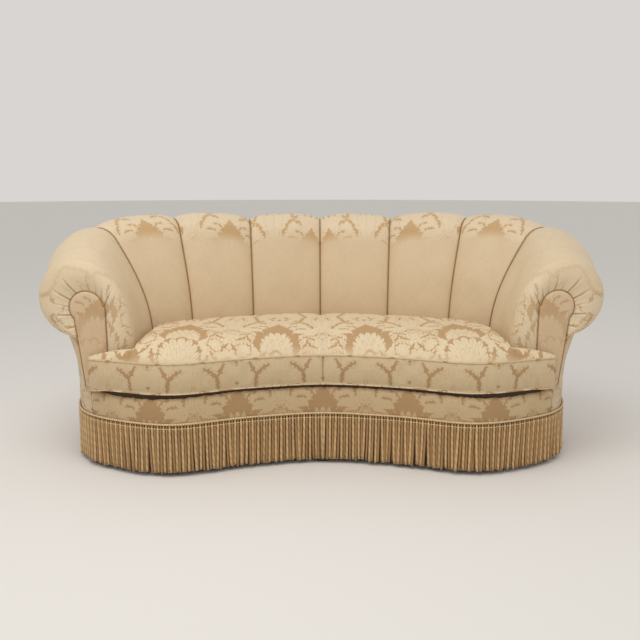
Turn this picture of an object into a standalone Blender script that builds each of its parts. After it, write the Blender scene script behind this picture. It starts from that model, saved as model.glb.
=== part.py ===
"""A kidney-shaped sofa with a channelled back, rolled arms and one loose bench cushion.

Lengths are in metres. X runs along the sofa, Y runs from the front to the back and Z is up.
Each half of the sofa mirrors the other. A station is an upright plane that stands square to the
inside back: station 0 is the centre seam, 1, 2 and 3 are the next seams outwards, and 4 is the
front of the arm, where the arm's nose begins. Stations on the other half are negative.
"""

import math

import bmesh
import bpy
import numpy as np

# Whole sofa
BACK_HEIGHT = 0.885
ARM_HEIGHT = 0.765
SEAT_HALF_WIDTH = 0.683
SEAT_DEPTH = 0.573
ARM_BASE_WIDTH = 0.272
BACK_BASE_DEPTH = 0.187
LOBE_REACH = 0.157
FIT = 0.0003

# Back and arm rolls
BACK_ROLL_RADIUS = 0.100
ARM_ROLL_RADIUS = 0.143
SHOULDER_REACH = 0.262
SEAM_DEPTH = 0.033
BACK_PAD = 0.058
ARM_PAD = 0.094
ROLL_BAR_RADIUS = 0.042
STRAIGHT_HEIGHT = 0.400
ARM_NOSE = 0.032
LINING_THICKNESS = 0.003

# Arm fronts
FACING_RADIUS = 0.060
FACING_THICKNESS = 0.010
FACING_INSET = 0.038
FACING_DROP = 0.030
FACING_STEM_INNER = 0.092
FACING_STEM_OUTER = 0.176
FACING_HEM = 0.004
BAR_FIT = 0.0018
PANEL_FIT = 0.010
BOARD_THICKNESS = 0.026

# Base frame
RAIL_BOTTOM = 0.150
RAIL_TOP = 0.262
RAIL_THICKNESS = 0.028
COVER_THICKNESS = 0.010
COVER_BOTTOM = 0.186
BORDER_TOP = 0.300
POST_WIDTH = 0.045
POST_THICKNESS = 0.030
POST_SETBACK = 0.004
POST_TUCK = 0.014
BRACE_THICKNESS = 0.024
BRACE_BOTTOM = 0.180
BRACE_TOP = 0.235
BLOCK_BOTTOM = 0.172
BLOCK_REACH = 0.075
BLOCK_DEPTH = 0.060
LEG_TOP_SIDE = 0.052
LEG_FOOT_SIDE = 0.036
LEG_SETBACK = 0.004
DUST_COVER_LIFT = 0.003
DUST_COVER_THICKNESS = 0.002

# Seat support
SPRING_WIRE = 0.0042
SPRING_HALF_WIDTH = 0.020
SPRING_BEARING = 0.012
BURLAP_THICKNESS = 0.003
BURLAP_INSET = 0.052
BURLAP_TUCK = 0.040

# Bench cushion
CUSHION_CLEARANCE = 0.003
CUSHION_EDGE = 0.112
CUSHION_CROWN = 0.063
CUSHION_BULGE = 0.010
CUSHION_BULGE_REACH = 0.060
CUSHION_OVERHANG = 0.004
EAR_TIP = 0.014
TICKING_THICKNESS = 0.003
ZIP_WIDTH = 0.020
CUT_OVERRUN = 0.020

# Fringe
FRINGE_THICKNESS = 0.009
FRINGE_HEADER = 0.016
FRINGE_TOP = 0.200
FRINGE_BOTTOM = 0.012
STRAND_PITCH = 0.0165
STRAND_WIDTH = 0.0125
STRAND_SWAY = 0.0015

# Shares of the sizes above, chosen by hand, one for each station from 0 to 4
FOOT_X_SHARES = (0, 0.422, 0.773, 0.966, 1)
FOOT_Y_SHARES = (0, 0.089, 0.264, 0.503, 1)
TURN_SHARES = (0, 0.089, 0.333, 0.733, 1)
LEAN_SHARES = (0.725, 0.744, 0.820, 1, 0.752)
ROLL_TOP_SHARES = (1, 1, 1.09, 0.82, 0)
ROLL_RADIUS_SHARES = (0, 0, 0.12, 0.53, 1)
PAD_SHARES = (0, 0, 0.10, 0.50, 1)
ROLL_JOIN_SHARES = (0, 0, 0.13, 0.57, 1)
ROLL_JOIN_ANGLES = (math.radians(162), math.radians(132))
ROLL_END_ANGLES = (math.radians(-70), math.radians(-88))
SIDE_TURN = math.radians(90)
NECK_ANGLE = math.radians(-42)
SMOOTH_ANGLE = math.radians(40)
SWAY_ANGLE = math.radians(138)

# Seams, and where other pieces stand among them, as stations or shares of the way between two
SEAMS = (-3, -2, -1, 0, 1, 2, 3)
SEAM_GAP_SHARE = 0.0016
SEAT_STATIONS = (4, 3.66, 3.32, 3, 2.5, 2, 1.5, 1, 0.5, 0)
POST_STATIONS = (0.86, 1.86)
CORNER_POST_STATION = 2.86
CORNER_PANEL_STATION = 3
BACK_RAIL_STATION = 2.3
ZIP_STATIONS = (-1, -0.5, 0, 0.5, 1)
ZIP_END_SHARE = 0.0016
ARM_COLUMN_SHARES = (0, 0.05, 0.16, 0.32, 0.66, 1)
ARM_LAYER_SHARES = (0, 0.16, 0.32, 0.66, 1)
SHOULDER_LAYER_SHARES = (0, 0.25, 0.5, 0.75, 1)
BACK_LAYER_SHARES = (0, 0.5, 1)
ARM_SWELL_SHARE = 0.32

# Half of the base outline from the front centre to the back centre: a share of the half width,
# then a share of the depth from the front of the lobes
BASE_OUTLINE_SHARES = (
    (0, 0.141), (0.283, 0.089), (0.555, 0), (0.796, 0.072), (0.940, 0.196), (1, 0.400),
    (0.984, 0.607), (0.859, 0.804), (0.576, 0.935), (0.293, 0.984), (0, 1),
)
OUTLINE_STEPS = 38
DENSE_STEPS = 40
LEAST_STEP_SHARE = 0.02

# Shares of a piece's own sizes
FACE_EASE_SHARES = (0.38, 0.36)
PANEL_TUCK_SHARE = 0.2
BLOCK_INNER_SHARE = 0.5
BRACE_SHARE = 0.44
SPRING_X_SHARES = (0.10, 0.29, 0.62)
STRAND_INSET_SHARES = (0.08, 0.92)
EAR_SHARES = (1, 0.7, 0.35)
EAR_CROWN_SHARES = (0.12, 0.28, 0.42)
FRONT_STEP_SHARES = (1, 0.97, 0.93, 0.88, 0.77, 0.65, 0.50, 0.34, 0.17, 0)
SEAT_CROWN_SHARES = (0.55, 0.82, 0.95, 1, 1, 1, 1, 1, 1, 1)
CROWN_SHARES = (0.93, 0.80, 0.62, 0.42, 0.22, 0.08)
BOX_MIDDLE_SHARE = 0.5

# Counts
CHANNEL_FACETS = 6
FACE_STEPS = 5
ROLL_STEPS = 10
NOSE_STEPS = 3
NECK_STEPS = 2
BAR_SIDES = 8
SPRING_TURNS = 9
FRINGE_STEPS = (0, 12, 25, OUTLINE_STEPS)

BASE_HALF_WIDTH = SEAT_HALF_WIDTH + ARM_BASE_WIDTH
BASE_FRONT = -SEAT_DEPTH - LOBE_REACH
BASE_DEPTH = BACK_BASE_DEPTH - BASE_FRONT
ARM_FRONT = -SEAT_DEPTH - ARM_NOSE
FACING_FRONT = ARM_FRONT - FIT - FACING_THICKNESS

# Layers of the base, each measured inwards from the face of the fringe
COVER_INSET = FRINGE_THICKNESS + FIT
RAIL_INSET = COVER_INSET + COVER_THICKNESS + FIT
RAIL_INNER_INSET = RAIL_INSET + RAIL_THICKNESS

# Layers of the seat, from the rails up
SPRING_BOTTOM = RAIL_TOP + FIT
BURLAP_BOTTOM = SPRING_BOTTOM + SPRING_WIRE + FIT
BURLAP_TOP = BURLAP_BOTTOM + BURLAP_THICKNESS
DECK_BOTTOM = BURLAP_TOP + FIT
DECK_TOP = BORDER_TOP
CUSHION_BOTTOM = DECK_TOP + FIT


def clear_scene():
    for item in list(bpy.data.objects):
        bpy.data.objects.remove(item, do_unlink=True)


def make_material(name, colour, roughness, metallic=0.0):
    material = bpy.data.materials.new(name)
    material.use_nodes = True
    shader = material.node_tree.nodes["Principled BSDF"]
    shader.inputs["Base Color"].default_value = (*colour, 1)
    shader.inputs["Roughness"].default_value = roughness
    shader.inputs["Metallic"].default_value = metallic
    return material


def make_empty(name, place, parent=None):
    empty = bpy.data.objects.new(name, None)
    empty.location = place
    empty.parent = parent
    bpy.context.scene.collection.objects.link(empty)
    return empty


def make_object(name, bm, material, parent, smooth=False):
    """One closed solid with its faces turned outwards, under the empty that carries it."""
    bmesh.ops.recalc_face_normals(bm, faces=bm.faces)
    bmesh.ops.translate(bm, verts=bm.verts, vec=-parent.location if parent.parent else (0, 0, 0))
    mesh = bpy.data.meshes.new(name)
    bm.to_mesh(mesh)
    bm.free()
    mesh.materials.append(material)
    if smooth:
        mesh.shade_smooth()
        mesh.set_sharp_from_angle(angle=SMOOTH_ANGLE)
    item = bpy.data.objects.new(name, mesh)
    item.parent = parent
    bpy.context.scene.collection.objects.link(item)
    return item


def climb(first, last):
    """How far a diagonal climbs towards the back: the same for a quad and its mirror image."""
    return (last.co.y - first.co.y) * (last.co.z - first.co.z)


def fill_quad(bm, a, b, c, d):
    """Two triangles, split alike on every layer of the sofa, so that nested layers never cross."""
    if climb(a, c) >= climb(b, d):
        bm.faces.new((a, b, c))
        bm.faces.new((a, c, d))
    else:
        bm.faces.new((a, b, d))
        bm.faces.new((b, c, d))


def fill_strip(bm, outer, inner):
    """Triangles between two rows of points that run the same way."""
    i, j, last, inner_last = 0, 0, len(outer) - 1, len(inner) - 1
    while i < last or j < inner_last:
        if (i + 1) * inner_last <= (j + 1) * last:
            bm.faces.new((outer[i], outer[i + 1], inner[j]))
            i += 1
        else:
            bm.faces.new((outer[i], inner[j + 1], inner[j]))
            j += 1


def loft(rings, by_order=False, outer=0):
    """A solid through closed rings of equally many points.

    Its quads are split by their place, or by their order from the middle ring outwards. Each end
    is one flat face, or a strip between a ring's outer points and the others.
    """
    bm = bmesh.new()
    rows = [[bm.verts.new(point) for point in ring] for ring in rings]
    count = len(rows[0])
    for number, (low, high) in enumerate(zip(rows, rows[1:])):
        if by_order and 2 * number + 1 > len(rows) - 1:
            low, high = high, low
        for i in range(count):
            j = (i + 1) % count
            if by_order:
                bm.faces.new((low[i], low[j], high[j]))
                bm.faces.new((low[i], high[j], high[i]))
            else:
                fill_quad(bm, low[i], low[j], high[j], high[i])
    for row in (rows[0], rows[-1]):
        if outer:
            fill_strip(bm, row[:outer], row[outer:][::-1])
        else:
            bm.faces.new(row)
    return bm


def slab(outline, bottom, top):
    """A plate with the given plan outline."""
    return loft([[(x, y, z) for x, y in outline] for z in (bottom, top)])


# Stations of the inside back and arms

def at_station(shares, station, odd=False):
    """A smooth curve through one share for each station, even or odd about the centre seam."""
    sign = -1 if odd else 1
    values = [sign * shares[1], *shares]
    place = min(abs(station), 4)
    step = min(int(place), 3)
    part = place - step
    start, end = values[step + 1], values[step + 2]
    slope_in = (end - values[step]) / 2
    slope_out = (values[step + 3] - start) / 2 if step < 3 else end - start
    blend = part * part * (3 - 2 * part)
    value = start + (end - start) * blend
    value += slope_in * part * (1 - part) ** 2 - slope_out * part * part * (1 - part)
    return -value if odd and station < 0 else value


def between(first, last, share):
    return first + (last - first) * share


def nose_blend(station):
    part = max(0, abs(station) - 3)
    return part * part * (3 - 2 * part)


def roll_at(station):
    """Lean, centre height, radius, join angle and end angle of the roll at a station."""
    lean = SHOULDER_REACH * at_station(LEAN_SHARES, station)
    radius = between(BACK_ROLL_RADIUS, ARM_ROLL_RADIUS, at_station(ROLL_RADIUS_SHARES, station))
    crown = between(ARM_HEIGHT, BACK_HEIGHT, at_station(ROLL_TOP_SHARES, station))
    turn = at_station(ROLL_JOIN_SHARES, station)
    join = between(*ROLL_JOIN_ANGLES, turn)
    end = between(*ROLL_END_ANGLES, turn)
    return lean, crown - radius, radius, join, end


def bar_centre(station):
    """Centre of the bar inside the roll: it leaves the roll's own centre along the arm."""
    lean, centre, *_ = roll_at(station)
    blend = nose_blend(station)
    return lean - FACING_INSET * blend, centre - FACING_DROP * blend


def place(station, reach, height, ahead=0):
    """World point at a reach outwards from the inside foot in a station's plane."""
    turn = SIDE_TURN * at_station(TURN_SHARES, station, odd=True)
    x = SEAT_HALF_WIDTH * at_station(FOOT_X_SHARES, station, odd=True)
    y = -SEAT_DEPTH * at_station(FOOT_Y_SHARES, station)
    return x + reach * math.sin(turn), y + reach * math.cos(turn) - ahead, height


def crown_profile(station, inset):
    """Padded face at a station: up from the deck, then over the roll, at an inset from its crown."""
    lean, centre, radius, join, end = roll_at(station)
    foot = np.array((0, STRAIGHT_HEIGHT))
    axis = np.array((lean, centre))
    meet = axis + radius * np.array((math.cos(join), math.sin(join)))
    along = np.array((math.sin(join), -math.cos(join)))
    span = np.hypot(*(meet - foot))
    first = foot + np.array((0, span * FACE_EASE_SHARES[0]))
    second = meet - along * span * FACE_EASE_SHARES[1]
    points = [(inset, BURLAP_TOP + FIT)]
    for step in range(FACE_STEPS):
        t = step / FACE_STEPS
        point = (1 - t) ** 3 * foot + 3 * (1 - t) ** 2 * t * first
        point = point + 3 * (1 - t) * t * t * second + t**3 * meet
        slope = (1 - t) ** 2 * (first - foot) + 2 * (1 - t) * t * (second - first)
        slope = slope + t * t * (meet - second)
        slope = slope / np.hypot(*slope)
        points.append((point[0] + slope[1] * inset, point[1] - slope[0] * inset))
    for step in range(ROLL_STEPS + 1):
        angle = between(join, end, step / ROLL_STEPS)
        points.append((axis[0] + (radius - inset) * math.cos(angle),
                       axis[1] + (radius - inset) * math.sin(angle)))
    return points


def tangent_angle(reach, height, radius):
    """Angle where a line from below, through a point at this reach and height, grazes a circle."""
    return math.atan2(height, reach) % math.tau - math.acos(radius / math.hypot(reach, height))


def bar_profile(station, extra=0):
    """Back of the padding at a station: straight up to the roll bar, then round the bar."""
    reach, centre = bar_centre(station)
    *_, end = roll_at(station)
    start = between(BACK_PAD, ARM_PAD, at_station(PAD_SHARES, station)) + extra
    radius = ROLL_BAR_RADIUS - extra
    join = tangent_angle(start - reach, BURLAP_TOP + FIT - centre, radius)
    meet = (reach + radius * math.cos(join), centre + radius * math.sin(join))
    points = [(start, BURLAP_TOP + FIT)]
    for step in range(FACE_STEPS):
        height = between(STRAIGHT_HEIGHT, meet[1], step / FACE_STEPS)
        share = (height - points[0][1]) / (meet[1] - points[0][1])
        points.append((between(start, meet[0], share), height))
    for step in range(ROLL_STEPS + 1):
        angle = between(join, end, step / ROLL_STEPS)
        points.append((reach + radius * math.cos(angle), centre + radius * math.sin(angle)))
    return points


def keyhole_profile(hem=0):
    """Edge of the arm's front facing, point for point beside the padded face of the last station."""
    reach, centre = bar_centre(4)
    radius = FACING_RADIUS + hem
    inner = FACING_STEM_INNER - hem
    points = [(inner, BURLAP_TOP + FIT)]
    for step in range(FACE_STEPS):
        points.append((inner, between(STRAIGHT_HEIGHT, centre, step / FACE_STEPS)))
    turns = ROLL_STEPS - NECK_STEPS
    for step in range(turns + 1):
        angle = between(math.pi, NECK_ANGLE, step / turns)
        points.append((reach + radius * math.cos(angle), centre + radius * math.sin(angle)))
    neck = points[-1]
    roll_end = crown_profile(4, 0)[-1][1] + FACING_HEM
    for step in range(NECK_STEPS):
        height = between(neck[1], roll_end, (step + 1) / NECK_STEPS)
        drop = (neck[1] - height) / (neck[1] - DECK_TOP)
        points.append((between(neck[0], FACING_STEM_OUTER + hem, drop), height))
    return points


# Base outline

def dense_outline(steps):
    """Half outline of the base through its hand-chosen points, as a smooth curve."""
    points = [(x * BASE_HALF_WIDTH, BASE_FRONT + y * BASE_DEPTH) for x, y in BASE_OUTLINE_SHARES]
    before = (-points[1][0], points[1][1])
    after = (-points[-2][0], points[-2][1])
    keys = np.array([before, *points, after])
    curve = []
    for a, b, c, d in zip(keys, keys[1:], keys[2:], keys[3:]):
        for step in range(steps):
            t = step / steps
            curve.append(((2 * b) + (c - a) * t + (2 * a - 5 * b + 4 * c - d) * t * t
                          + (3 * b - a - 3 * c + d) * t**3) / 2)
    curve.append(keys[-2])
    return np.array(curve)


def outline_vertices():
    """The half outline as even steps, each with the direction that points inwards."""
    curve = dense_outline(DENSE_STEPS)
    length = np.concatenate([[0], np.cumsum(np.hypot(*np.diff(curve, axis=0).T))])
    even = np.linspace(0, length[-1], OUTLINE_STEPS + 1)
    points = np.column_stack([np.interp(even, length, curve[:, axis]) for axis in (0, 1)])
    mirror = np.array((-1, 1))
    whole = np.vstack([points[1] * mirror, points, points[-2] * mirror])
    along = whole[2:] - whole[:-2]
    along /= np.hypot(*along.T)[:, None]
    return points, np.column_stack([-along[:, 1], along[:, 0]]), length[-1]


OUTLINE, OUTLINE_INWARD, OUTLINE_LENGTH = outline_vertices()


def base_point(step, inset=0):
    """Plan point on the base outline: step 0 is the front centre, negative on the other half."""
    side = 1
    if step < 0:
        step, side = -step, -1
    if step > OUTLINE_STEPS:
        step, side = 2 * OUTLINE_STEPS - step, -side
    low = min(int(step), OUTLINE_STEPS - 1)
    part = step - low
    line = OUTLINE + OUTLINE_INWARD * inset
    x, y = line[low] * (1 - part) + line[low + 1] * part
    return side * x, y


def base_steps(first, last):
    """Both ends and every whole step between them, so that neighbours share their corners."""
    inner = range(math.ceil(first + LEAST_STEP_SHARE), math.floor(last - LEAST_STEP_SHARE) + 1)
    return [first, *inner, last]


def step_at_depth(depth, inset=0):
    """Step on the arm's side of the lobe where the inset outline comes back to a depth."""
    line = (OUTLINE + OUTLINE_INWARD * inset)[:, 1]
    low = int(np.argmin(line))
    while line[low + 1] < depth:
        low += 1
    return low + (depth - line[low]) / (line[low + 1] - line[low])


def station_hit(station):
    """Step where a station's plane meets the base outline."""
    foot = np.array(place(station, 0, 0)[:2])
    far = np.array(place(station, 1, 0)[:2])
    square = np.array((foot[1] - far[1], far[0] - foot[0]))
    sides = (OUTLINE - foot) @ square
    ahead = (OUTLINE - foot) @ (far - foot) > 0
    for step in range(OUTLINE_STEPS):
        if ahead[step] and sides[step] * sides[step + 1] <= 0 and sides[step] != sides[step + 1]:
            return step + sides[step] / (sides[step] - sides[step + 1])
    return OUTLINE_STEPS


def station_of_step(step):
    """Station whose plane meets the outline at a step: the other way round from station_hit."""
    low, high = 0, 4
    for _ in range(40):
        middle = (low + high) / 2
        if station_hit(middle) > step:
            low = middle
        else:
            high = middle
    return (low + high) / 2


STEP_FIT = FIT / OUTLINE_LENGTH * OUTLINE_STEPS
ARM_STEP = step_at_depth(ARM_FRONT)
SIDE_STEP = station_hit(4)
CORNER_STEP = station_hit(CORNER_PANEL_STATION)
BACK_STEP = station_hit(BACK_RAIL_STATION)


def base_band(first, last, outer, inner, bottom, top):
    """An upright strip that follows the base outline."""
    rings = []
    for step in base_steps(first, last):
        near, far = base_point(step, outer), base_point(step, inner)
        rings.append([(*near, bottom), (*near, top), (*far, top), (*far, bottom)])
    return loft(rings)


# Wooden frame

def make_rails(wood, parent):
    def rail(name, first, last):
        bm = base_band(first, last, RAIL_INSET, RAIL_INNER_INSET, RAIL_BOTTOM, RAIL_TOP)
        make_object(name, bm, wood, parent)

    rail("front_rail", -ARM_STEP, ARM_STEP)
    rail("side_rail_right", ARM_STEP + STEP_FIT, BACK_STEP)
    rail("side_rail_left", -BACK_STEP, -ARM_STEP - STEP_FIT)
    rail("back_rail", BACK_STEP + STEP_FIT, 2 * OUTLINE_STEPS - BACK_STEP - STEP_FIT)


def make_corner_blocks(wood, parent):
    """Block glued in each front corner, where the front rail meets a side rail."""
    reach = BLOCK_REACH / OUTLINE_LENGTH * OUTLINE_STEPS
    for side, sign in (("right", 1), ("left", -1)):
        outer = [base_point(sign * step, RAIL_INNER_INSET + FIT)
                 for step in base_steps(ARM_STEP - reach, ARM_STEP + reach)]
        inner = [base_point(sign * (ARM_STEP + share * reach), RAIL_INNER_INSET + BLOCK_DEPTH)
                 for share in (BLOCK_INNER_SHARE, -BLOCK_INNER_SHARE)]
        bm = slab(outer + inner, BLOCK_BOTTOM, RAIL_TOP)
        make_object(f"corner_block_{side}", bm, wood, parent)


def rail_face(x, back):
    """Depth of the inner face of the front or back rail at a place along the sofa."""
    line = OUTLINE + OUTLINE_INWARD * (RAIL_INNER_INSET + FIT)
    steps = range(OUTLINE_STEPS - 1, -1, -1) if back else range(OUTLINE_STEPS)
    for step in steps:
        low, high = line[step], line[step + 1]
        if min(low[0], high[0]) <= abs(x) <= max(low[0], high[0]):
            return low[1] + (high[1] - low[1]) * (abs(x) - low[0]) / (high[0] - low[0])
    return 0


def make_seat_braces(wood, parent):
    for side, sign in (("right", 1), ("left", -1)):
        middle = sign * BRACE_SHARE * SEAT_HALF_WIDTH
        edges = (middle - BRACE_THICKNESS / 2, middle + BRACE_THICKNESS / 2)
        front = [(x, rail_face(x, False)) for x in edges]
        back = [(x, rail_face(x, True)) for x in reversed(edges)]
        make_object(f"seat_brace_{side}", slab(front + back, BRACE_BOTTOM, BRACE_TOP), wood, parent)


def post(station):
    """A post from the rail up to the bar in the roll, square to the inside back."""
    half = POST_THICKNESS / 2
    hit = base_point(station_hit(abs(station)), RAIL_INSET + POST_SETBACK + half)
    foot = np.array(place(abs(station), 0, 0)[:2])
    start = np.hypot(*(np.array(hit) - foot))
    across = POST_WIDTH / 2
    edge = across / SEAT_HALF_WIDTH * len(SEAMS)
    reach = bar_centre(station)[0] - half - POST_TUCK
    lowest = min(bar_centre(abs(station) + shift)[1] for shift in (-edge, 0, edge))
    end = lowest - ROLL_BAR_RADIUS - FIT
    middle = np.array(place(station, start, 0)[:2])
    outward = np.array(place(station, 1, 0)[:2]) - np.array(place(station, 0, 0)[:2])
    along = np.array((outward[1], -outward[0]))
    rings = []
    for height, at in ((RAIL_TOP + FIT, start), (end, reach)):
        centre_point = middle + outward * (at - start)
        ring = [centre_point + outward * a * half + along * b * across
                for a, b in ((-1, -1), (1, -1), (1, 1), (-1, 1))]
        rings.append([(x, y, height) for x, y in ring])
    return loft(rings)


def make_posts(wood, parent):
    for side, sign in (("right", 1), ("left", -1)):
        for name, station in zip(("inner", "outer"), POST_STATIONS):
            make_object(f"back_post_{name}_{side}", post(sign * station), wood, parent)
        make_object(f"corner_post_{side}", post(sign * CORNER_POST_STATION), wood, parent)


def layer_shares(first, last):
    """Where the hidden layers behind a channel have their rings: closer together at a shoulder."""
    return SHOULDER_LAYER_SHARES if max(abs(first), abs(last)) == max(SEAMS) else BACK_LAYER_SHARES


def back_stations():
    """Rings of every layer that runs behind all the channels of the back."""
    return [between(first + SEAM_GAP_SHARE, last - SEAM_GAP_SHARE, share)
            for first, last in zip(SEAMS, SEAMS[1:]) for share in layer_shares(first, last)]


def bar_ring(station, ahead=0):
    reach, centre = bar_centre(station)
    radius = ROLL_BAR_RADIUS - BAR_FIT
    ring = []
    for side in range(BAR_SIDES):
        angle = math.tau * side / BAR_SIDES
        ring.append(place(station, reach + radius * math.cos(angle),
                          centre + radius * math.sin(angle), ahead))
    return ring


def make_roll_bars(wood, parent):
    rings = [bar_ring(station) for station in back_stations()]
    make_object("top_rail", loft(rings), wood, parent, True)
    for side, sign in (("right", 1), ("left", -1)):
        rings = [bar_ring(sign * between(3 + SEAM_GAP_SHARE, 4, share)) for share in ARM_LAYER_SHARES]
        room = ARM_NOSE - BOARD_THICKNESS - FIT
        rings.append(bar_ring(sign * 4, room))
        make_object(f"arm_rail_{side}", loft(rings), wood, parent, True)


def make_arm_boards(wood, parent):
    """Upright board behind each arm front, round at its top, which stands on the rails."""
    reach, centre = bar_centre(4)
    radius = ROLL_BAR_RADIUS - BAR_FIT
    start = ARM_PAD + BAR_FIT
    bottom = RAIL_TOP + FIT
    join = tangent_angle(start - reach, bottom - centre, radius)
    outline = [(start, bottom)]
    *_, end = roll_at(4)
    for step in range(ROLL_STEPS + 1):
        angle = between(join, end, step / ROLL_STEPS)
        outline.append((reach + radius * math.cos(angle), centre + radius * math.sin(angle)))
    border = base_point(step_at_depth(ARM_FRONT, RAIL_INSET), RAIL_INSET)
    outer = border[0] - SEAT_HALF_WIDTH - BAR_FIT
    outline += [(outer, BORDER_TOP + FIT), (outer, bottom)]
    for side, sign in (("right", 1), ("left", -1)):
        rings = [[place(sign * 4, at, height, ahead) for at, height in outline]
                 for ahead in (ARM_NOSE - BOARD_THICKNESS, ARM_NOSE)]
        make_object(f"arm_board_{side}", loft(rings), wood, parent)


def make_leg(name, step, wood, parent):
    """Tapered square leg under the rail, turned to follow the base outline."""
    outer = np.array(base_point(step, COVER_INSET + LEG_SETBACK))
    inward = np.array(base_point(step, COVER_INSET + LEG_SETBACK + 1)) - outer
    along = np.array((inward[1], -inward[0]))
    middle = outer + inward * LEG_TOP_SIDE / 2
    rings = []
    for height, side in ((0, LEG_FOOT_SIDE), (RAIL_BOTTOM - FIT, LEG_TOP_SIDE)):
        ring = [middle + (inward * a + along * b) * side / 2
                for a, b in ((-1, -1), (1, -1), (1, 1), (-1, 1))]
        rings.append([(x, y, height) for x, y in ring])
    make_object(name, loft(rings), wood, parent)


def make_legs(wood, parent):
    for end, step in (("front", ARM_STEP), ("back", BACK_STEP)):
        make_leg(f"leg_{end}_right", step, wood, parent)
        make_leg(f"leg_{end}_left", -step, wood, parent)
    make_leg("leg_front_centre", 0, wood, parent)
    make_leg("leg_back_centre", OUTLINE_STEPS, wood, parent)


# Seat support


def make_spring(name, x, steel, parent):
    """Flat zigzag spring from the front rail to the back rail, lying on both."""
    front = rail_face(x, False) - SPRING_BEARING
    back = rail_face(x, True) + SPRING_BEARING
    height = SPRING_BOTTOM + SPRING_WIRE / 2
    half = SPRING_WIRE / 2
    count = 2 * SPRING_TURNS + 1
    rings = []
    for index in range(count):
        t = index / (count - 1)
        swing = SPRING_HALF_WIDTH * math.cos(math.pi * index)
        if index in (0, count - 1):
            swing = 0
        y = between(front, back, t)
        rings.append([(x + swing, y, height - half), (x + swing + SPRING_WIRE, y, height + half),
                      (x + swing - SPRING_WIRE, y, height + half)])
    make_object(name, loft(rings), steel, parent)


def make_springs(steel, parent):
    names = ("inner", "middle", "outer")
    for side, sign in (("right", 1), ("left", -1)):
        for name, share in zip(names, SPRING_X_SHARES):
            make_spring(f"seat_spring_{name}_{side}", sign * share * SEAT_HALF_WIDTH, steel, parent)


def mirrored(half):
    """A closed plan outline from its right half, front centre first."""
    left = [(-x, y) for x, y in reversed(half) if abs(x) > FIT]
    return half + left


def foot_path(clearance, stations):
    return [place(station, clearance, 0)[:2] for station in stations]


def seat_outline(front_inset, clearance, stations):
    """Plan of the deck: the base outline in front, the foot of the back and arms behind."""
    notch = FACING_FRONT - clearance
    last = step_at_depth(notch - EAR_TIP, front_inset)
    front = [base_point(step, front_inset) for step in base_steps(0, last)]
    corner = (SEAT_HALF_WIDTH - clearance, notch)
    back = foot_path(-clearance, stations)
    return mirrored(front + [(front[-1][0], notch), corner] + back)


def make_deck(cloth, burlap, parent):
    deck = seat_outline(RAIL_INSET, FIT, SEAT_STATIONS)
    make_object("seat_deck", slab(deck, DECK_BOTTOM, DECK_TOP), cloth, parent)
    front = [base_point(step, BURLAP_INSET) for step in base_steps(0, ARM_STEP)]
    front = [point for point in front if point[0] < SEAT_HALF_WIDTH]
    back = foot_path(BURLAP_TUCK, SEAT_STATIONS)
    make_object("spring_burlap", slab(mirrored(front + back), BURLAP_BOTTOM, BURLAP_TOP),
                burlap, parent)


def make_dust_cover(cloth, parent):
    half = [base_point(step, RAIL_INNER_INSET + FIT) for step in range(OUTLINE_STEPS + 1)]
    bottom = RAIL_BOTTOM + DUST_COVER_LIFT
    bm = slab(mirrored(half), bottom, bottom + DUST_COVER_THICKNESS)
    make_object("dust_cover", bm, cloth, parent)


# Upholstery of the back and arms

def bulge(share):
    """Inset from the crown across a channel: none at its middle, the seam's depth at its edges."""
    return SEAM_DEPTH * (1 - math.sin(math.pi * share))


def channel(first, last):
    """Padding of one channel between two seams, from the deck over the roll."""
    turns = [(1 - math.cos(math.pi * k / CHANNEL_FACETS)) / 2 for k in range(CHANNEL_FACETS + 1)]
    columns = []
    for index, share in enumerate(turns):
        station = between(first + SEAM_GAP_SHARE, last - SEAM_GAP_SHARE, share)
        profile = crown_profile(station, bulge(index / CHANNEL_FACETS))
        columns.append([place(station, *point) for point in profile])
    for share in layer_shares(first, last)[::-1]:
        station = between(first + SEAM_GAP_SHARE, last - SEAM_GAP_SHARE, share)
        columns.append([place(station, *point) for point in bar_profile(station)])
    return loft(list(zip(*columns)), outer=len(turns))


def arm_padding(sign):
    """Outer channel of a side and the arm's roll, with its nose drawn in to the front facing."""
    columns = []
    for share in ARM_COLUMN_SHARES:
        station = between(3 + SEAM_GAP_SHARE, 4, share)
        part = min(share / ARM_SWELL_SHARE, 1)
        inset = SEAM_DEPTH * (1 - math.sqrt(1 - (1 - part) ** 2))
        columns.append([place(sign * station, *p) for p in crown_profile(station, inset)])
    crown = crown_profile(4, 0)
    keyhole = keyhole_profile(FACING_HEM)
    for step in range(1, NOSE_STEPS + 1):
        angle = math.pi / 2 * step / NOSE_STEPS
        draw = 1 - math.cos(angle)
        ahead = ARM_NOSE * math.sin(angle)
        columns.append([place(sign * 4, between(a[0], b[0], draw), between(a[1], b[1], draw), ahead)
                        for a, b in zip(crown, keyhole)])
    outer = len(columns)
    columns.append([place(sign * 4, *point, ARM_NOSE) for point in bar_profile(4)])
    for share in ARM_LAYER_SHARES[::-1]:
        station = between(3 + SEAM_GAP_SHARE, 4, share)
        columns.append([place(sign * station, *point) for point in bar_profile(station)])
    return loft(list(zip(*columns)), outer=outer)


def make_padding(fabric, parent):
    for number, (first, last) in enumerate(zip(SEAMS, SEAMS[1:]), 1):
        make_object(f"back_channel_{number}", channel(first, last), fabric, parent, True)
    for side, sign in (("right", 1), ("left", -1)):
        make_object(f"inside_arm_{side}", arm_padding(sign), fabric, parent, True)


def lining(stations):
    """Thin sheet that backs the padding, from the deck up to the roll bar."""
    rings = []
    for station in stations:
        near = bar_profile(abs(station), FIT)[:FACE_STEPS + 1]
        far = bar_profile(abs(station), FIT + LINING_THICKNESS)[:FACE_STEPS + 1]
        rings.append([place(station, *point) for point in near + far[::-1]])
    return loft(rings)


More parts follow.
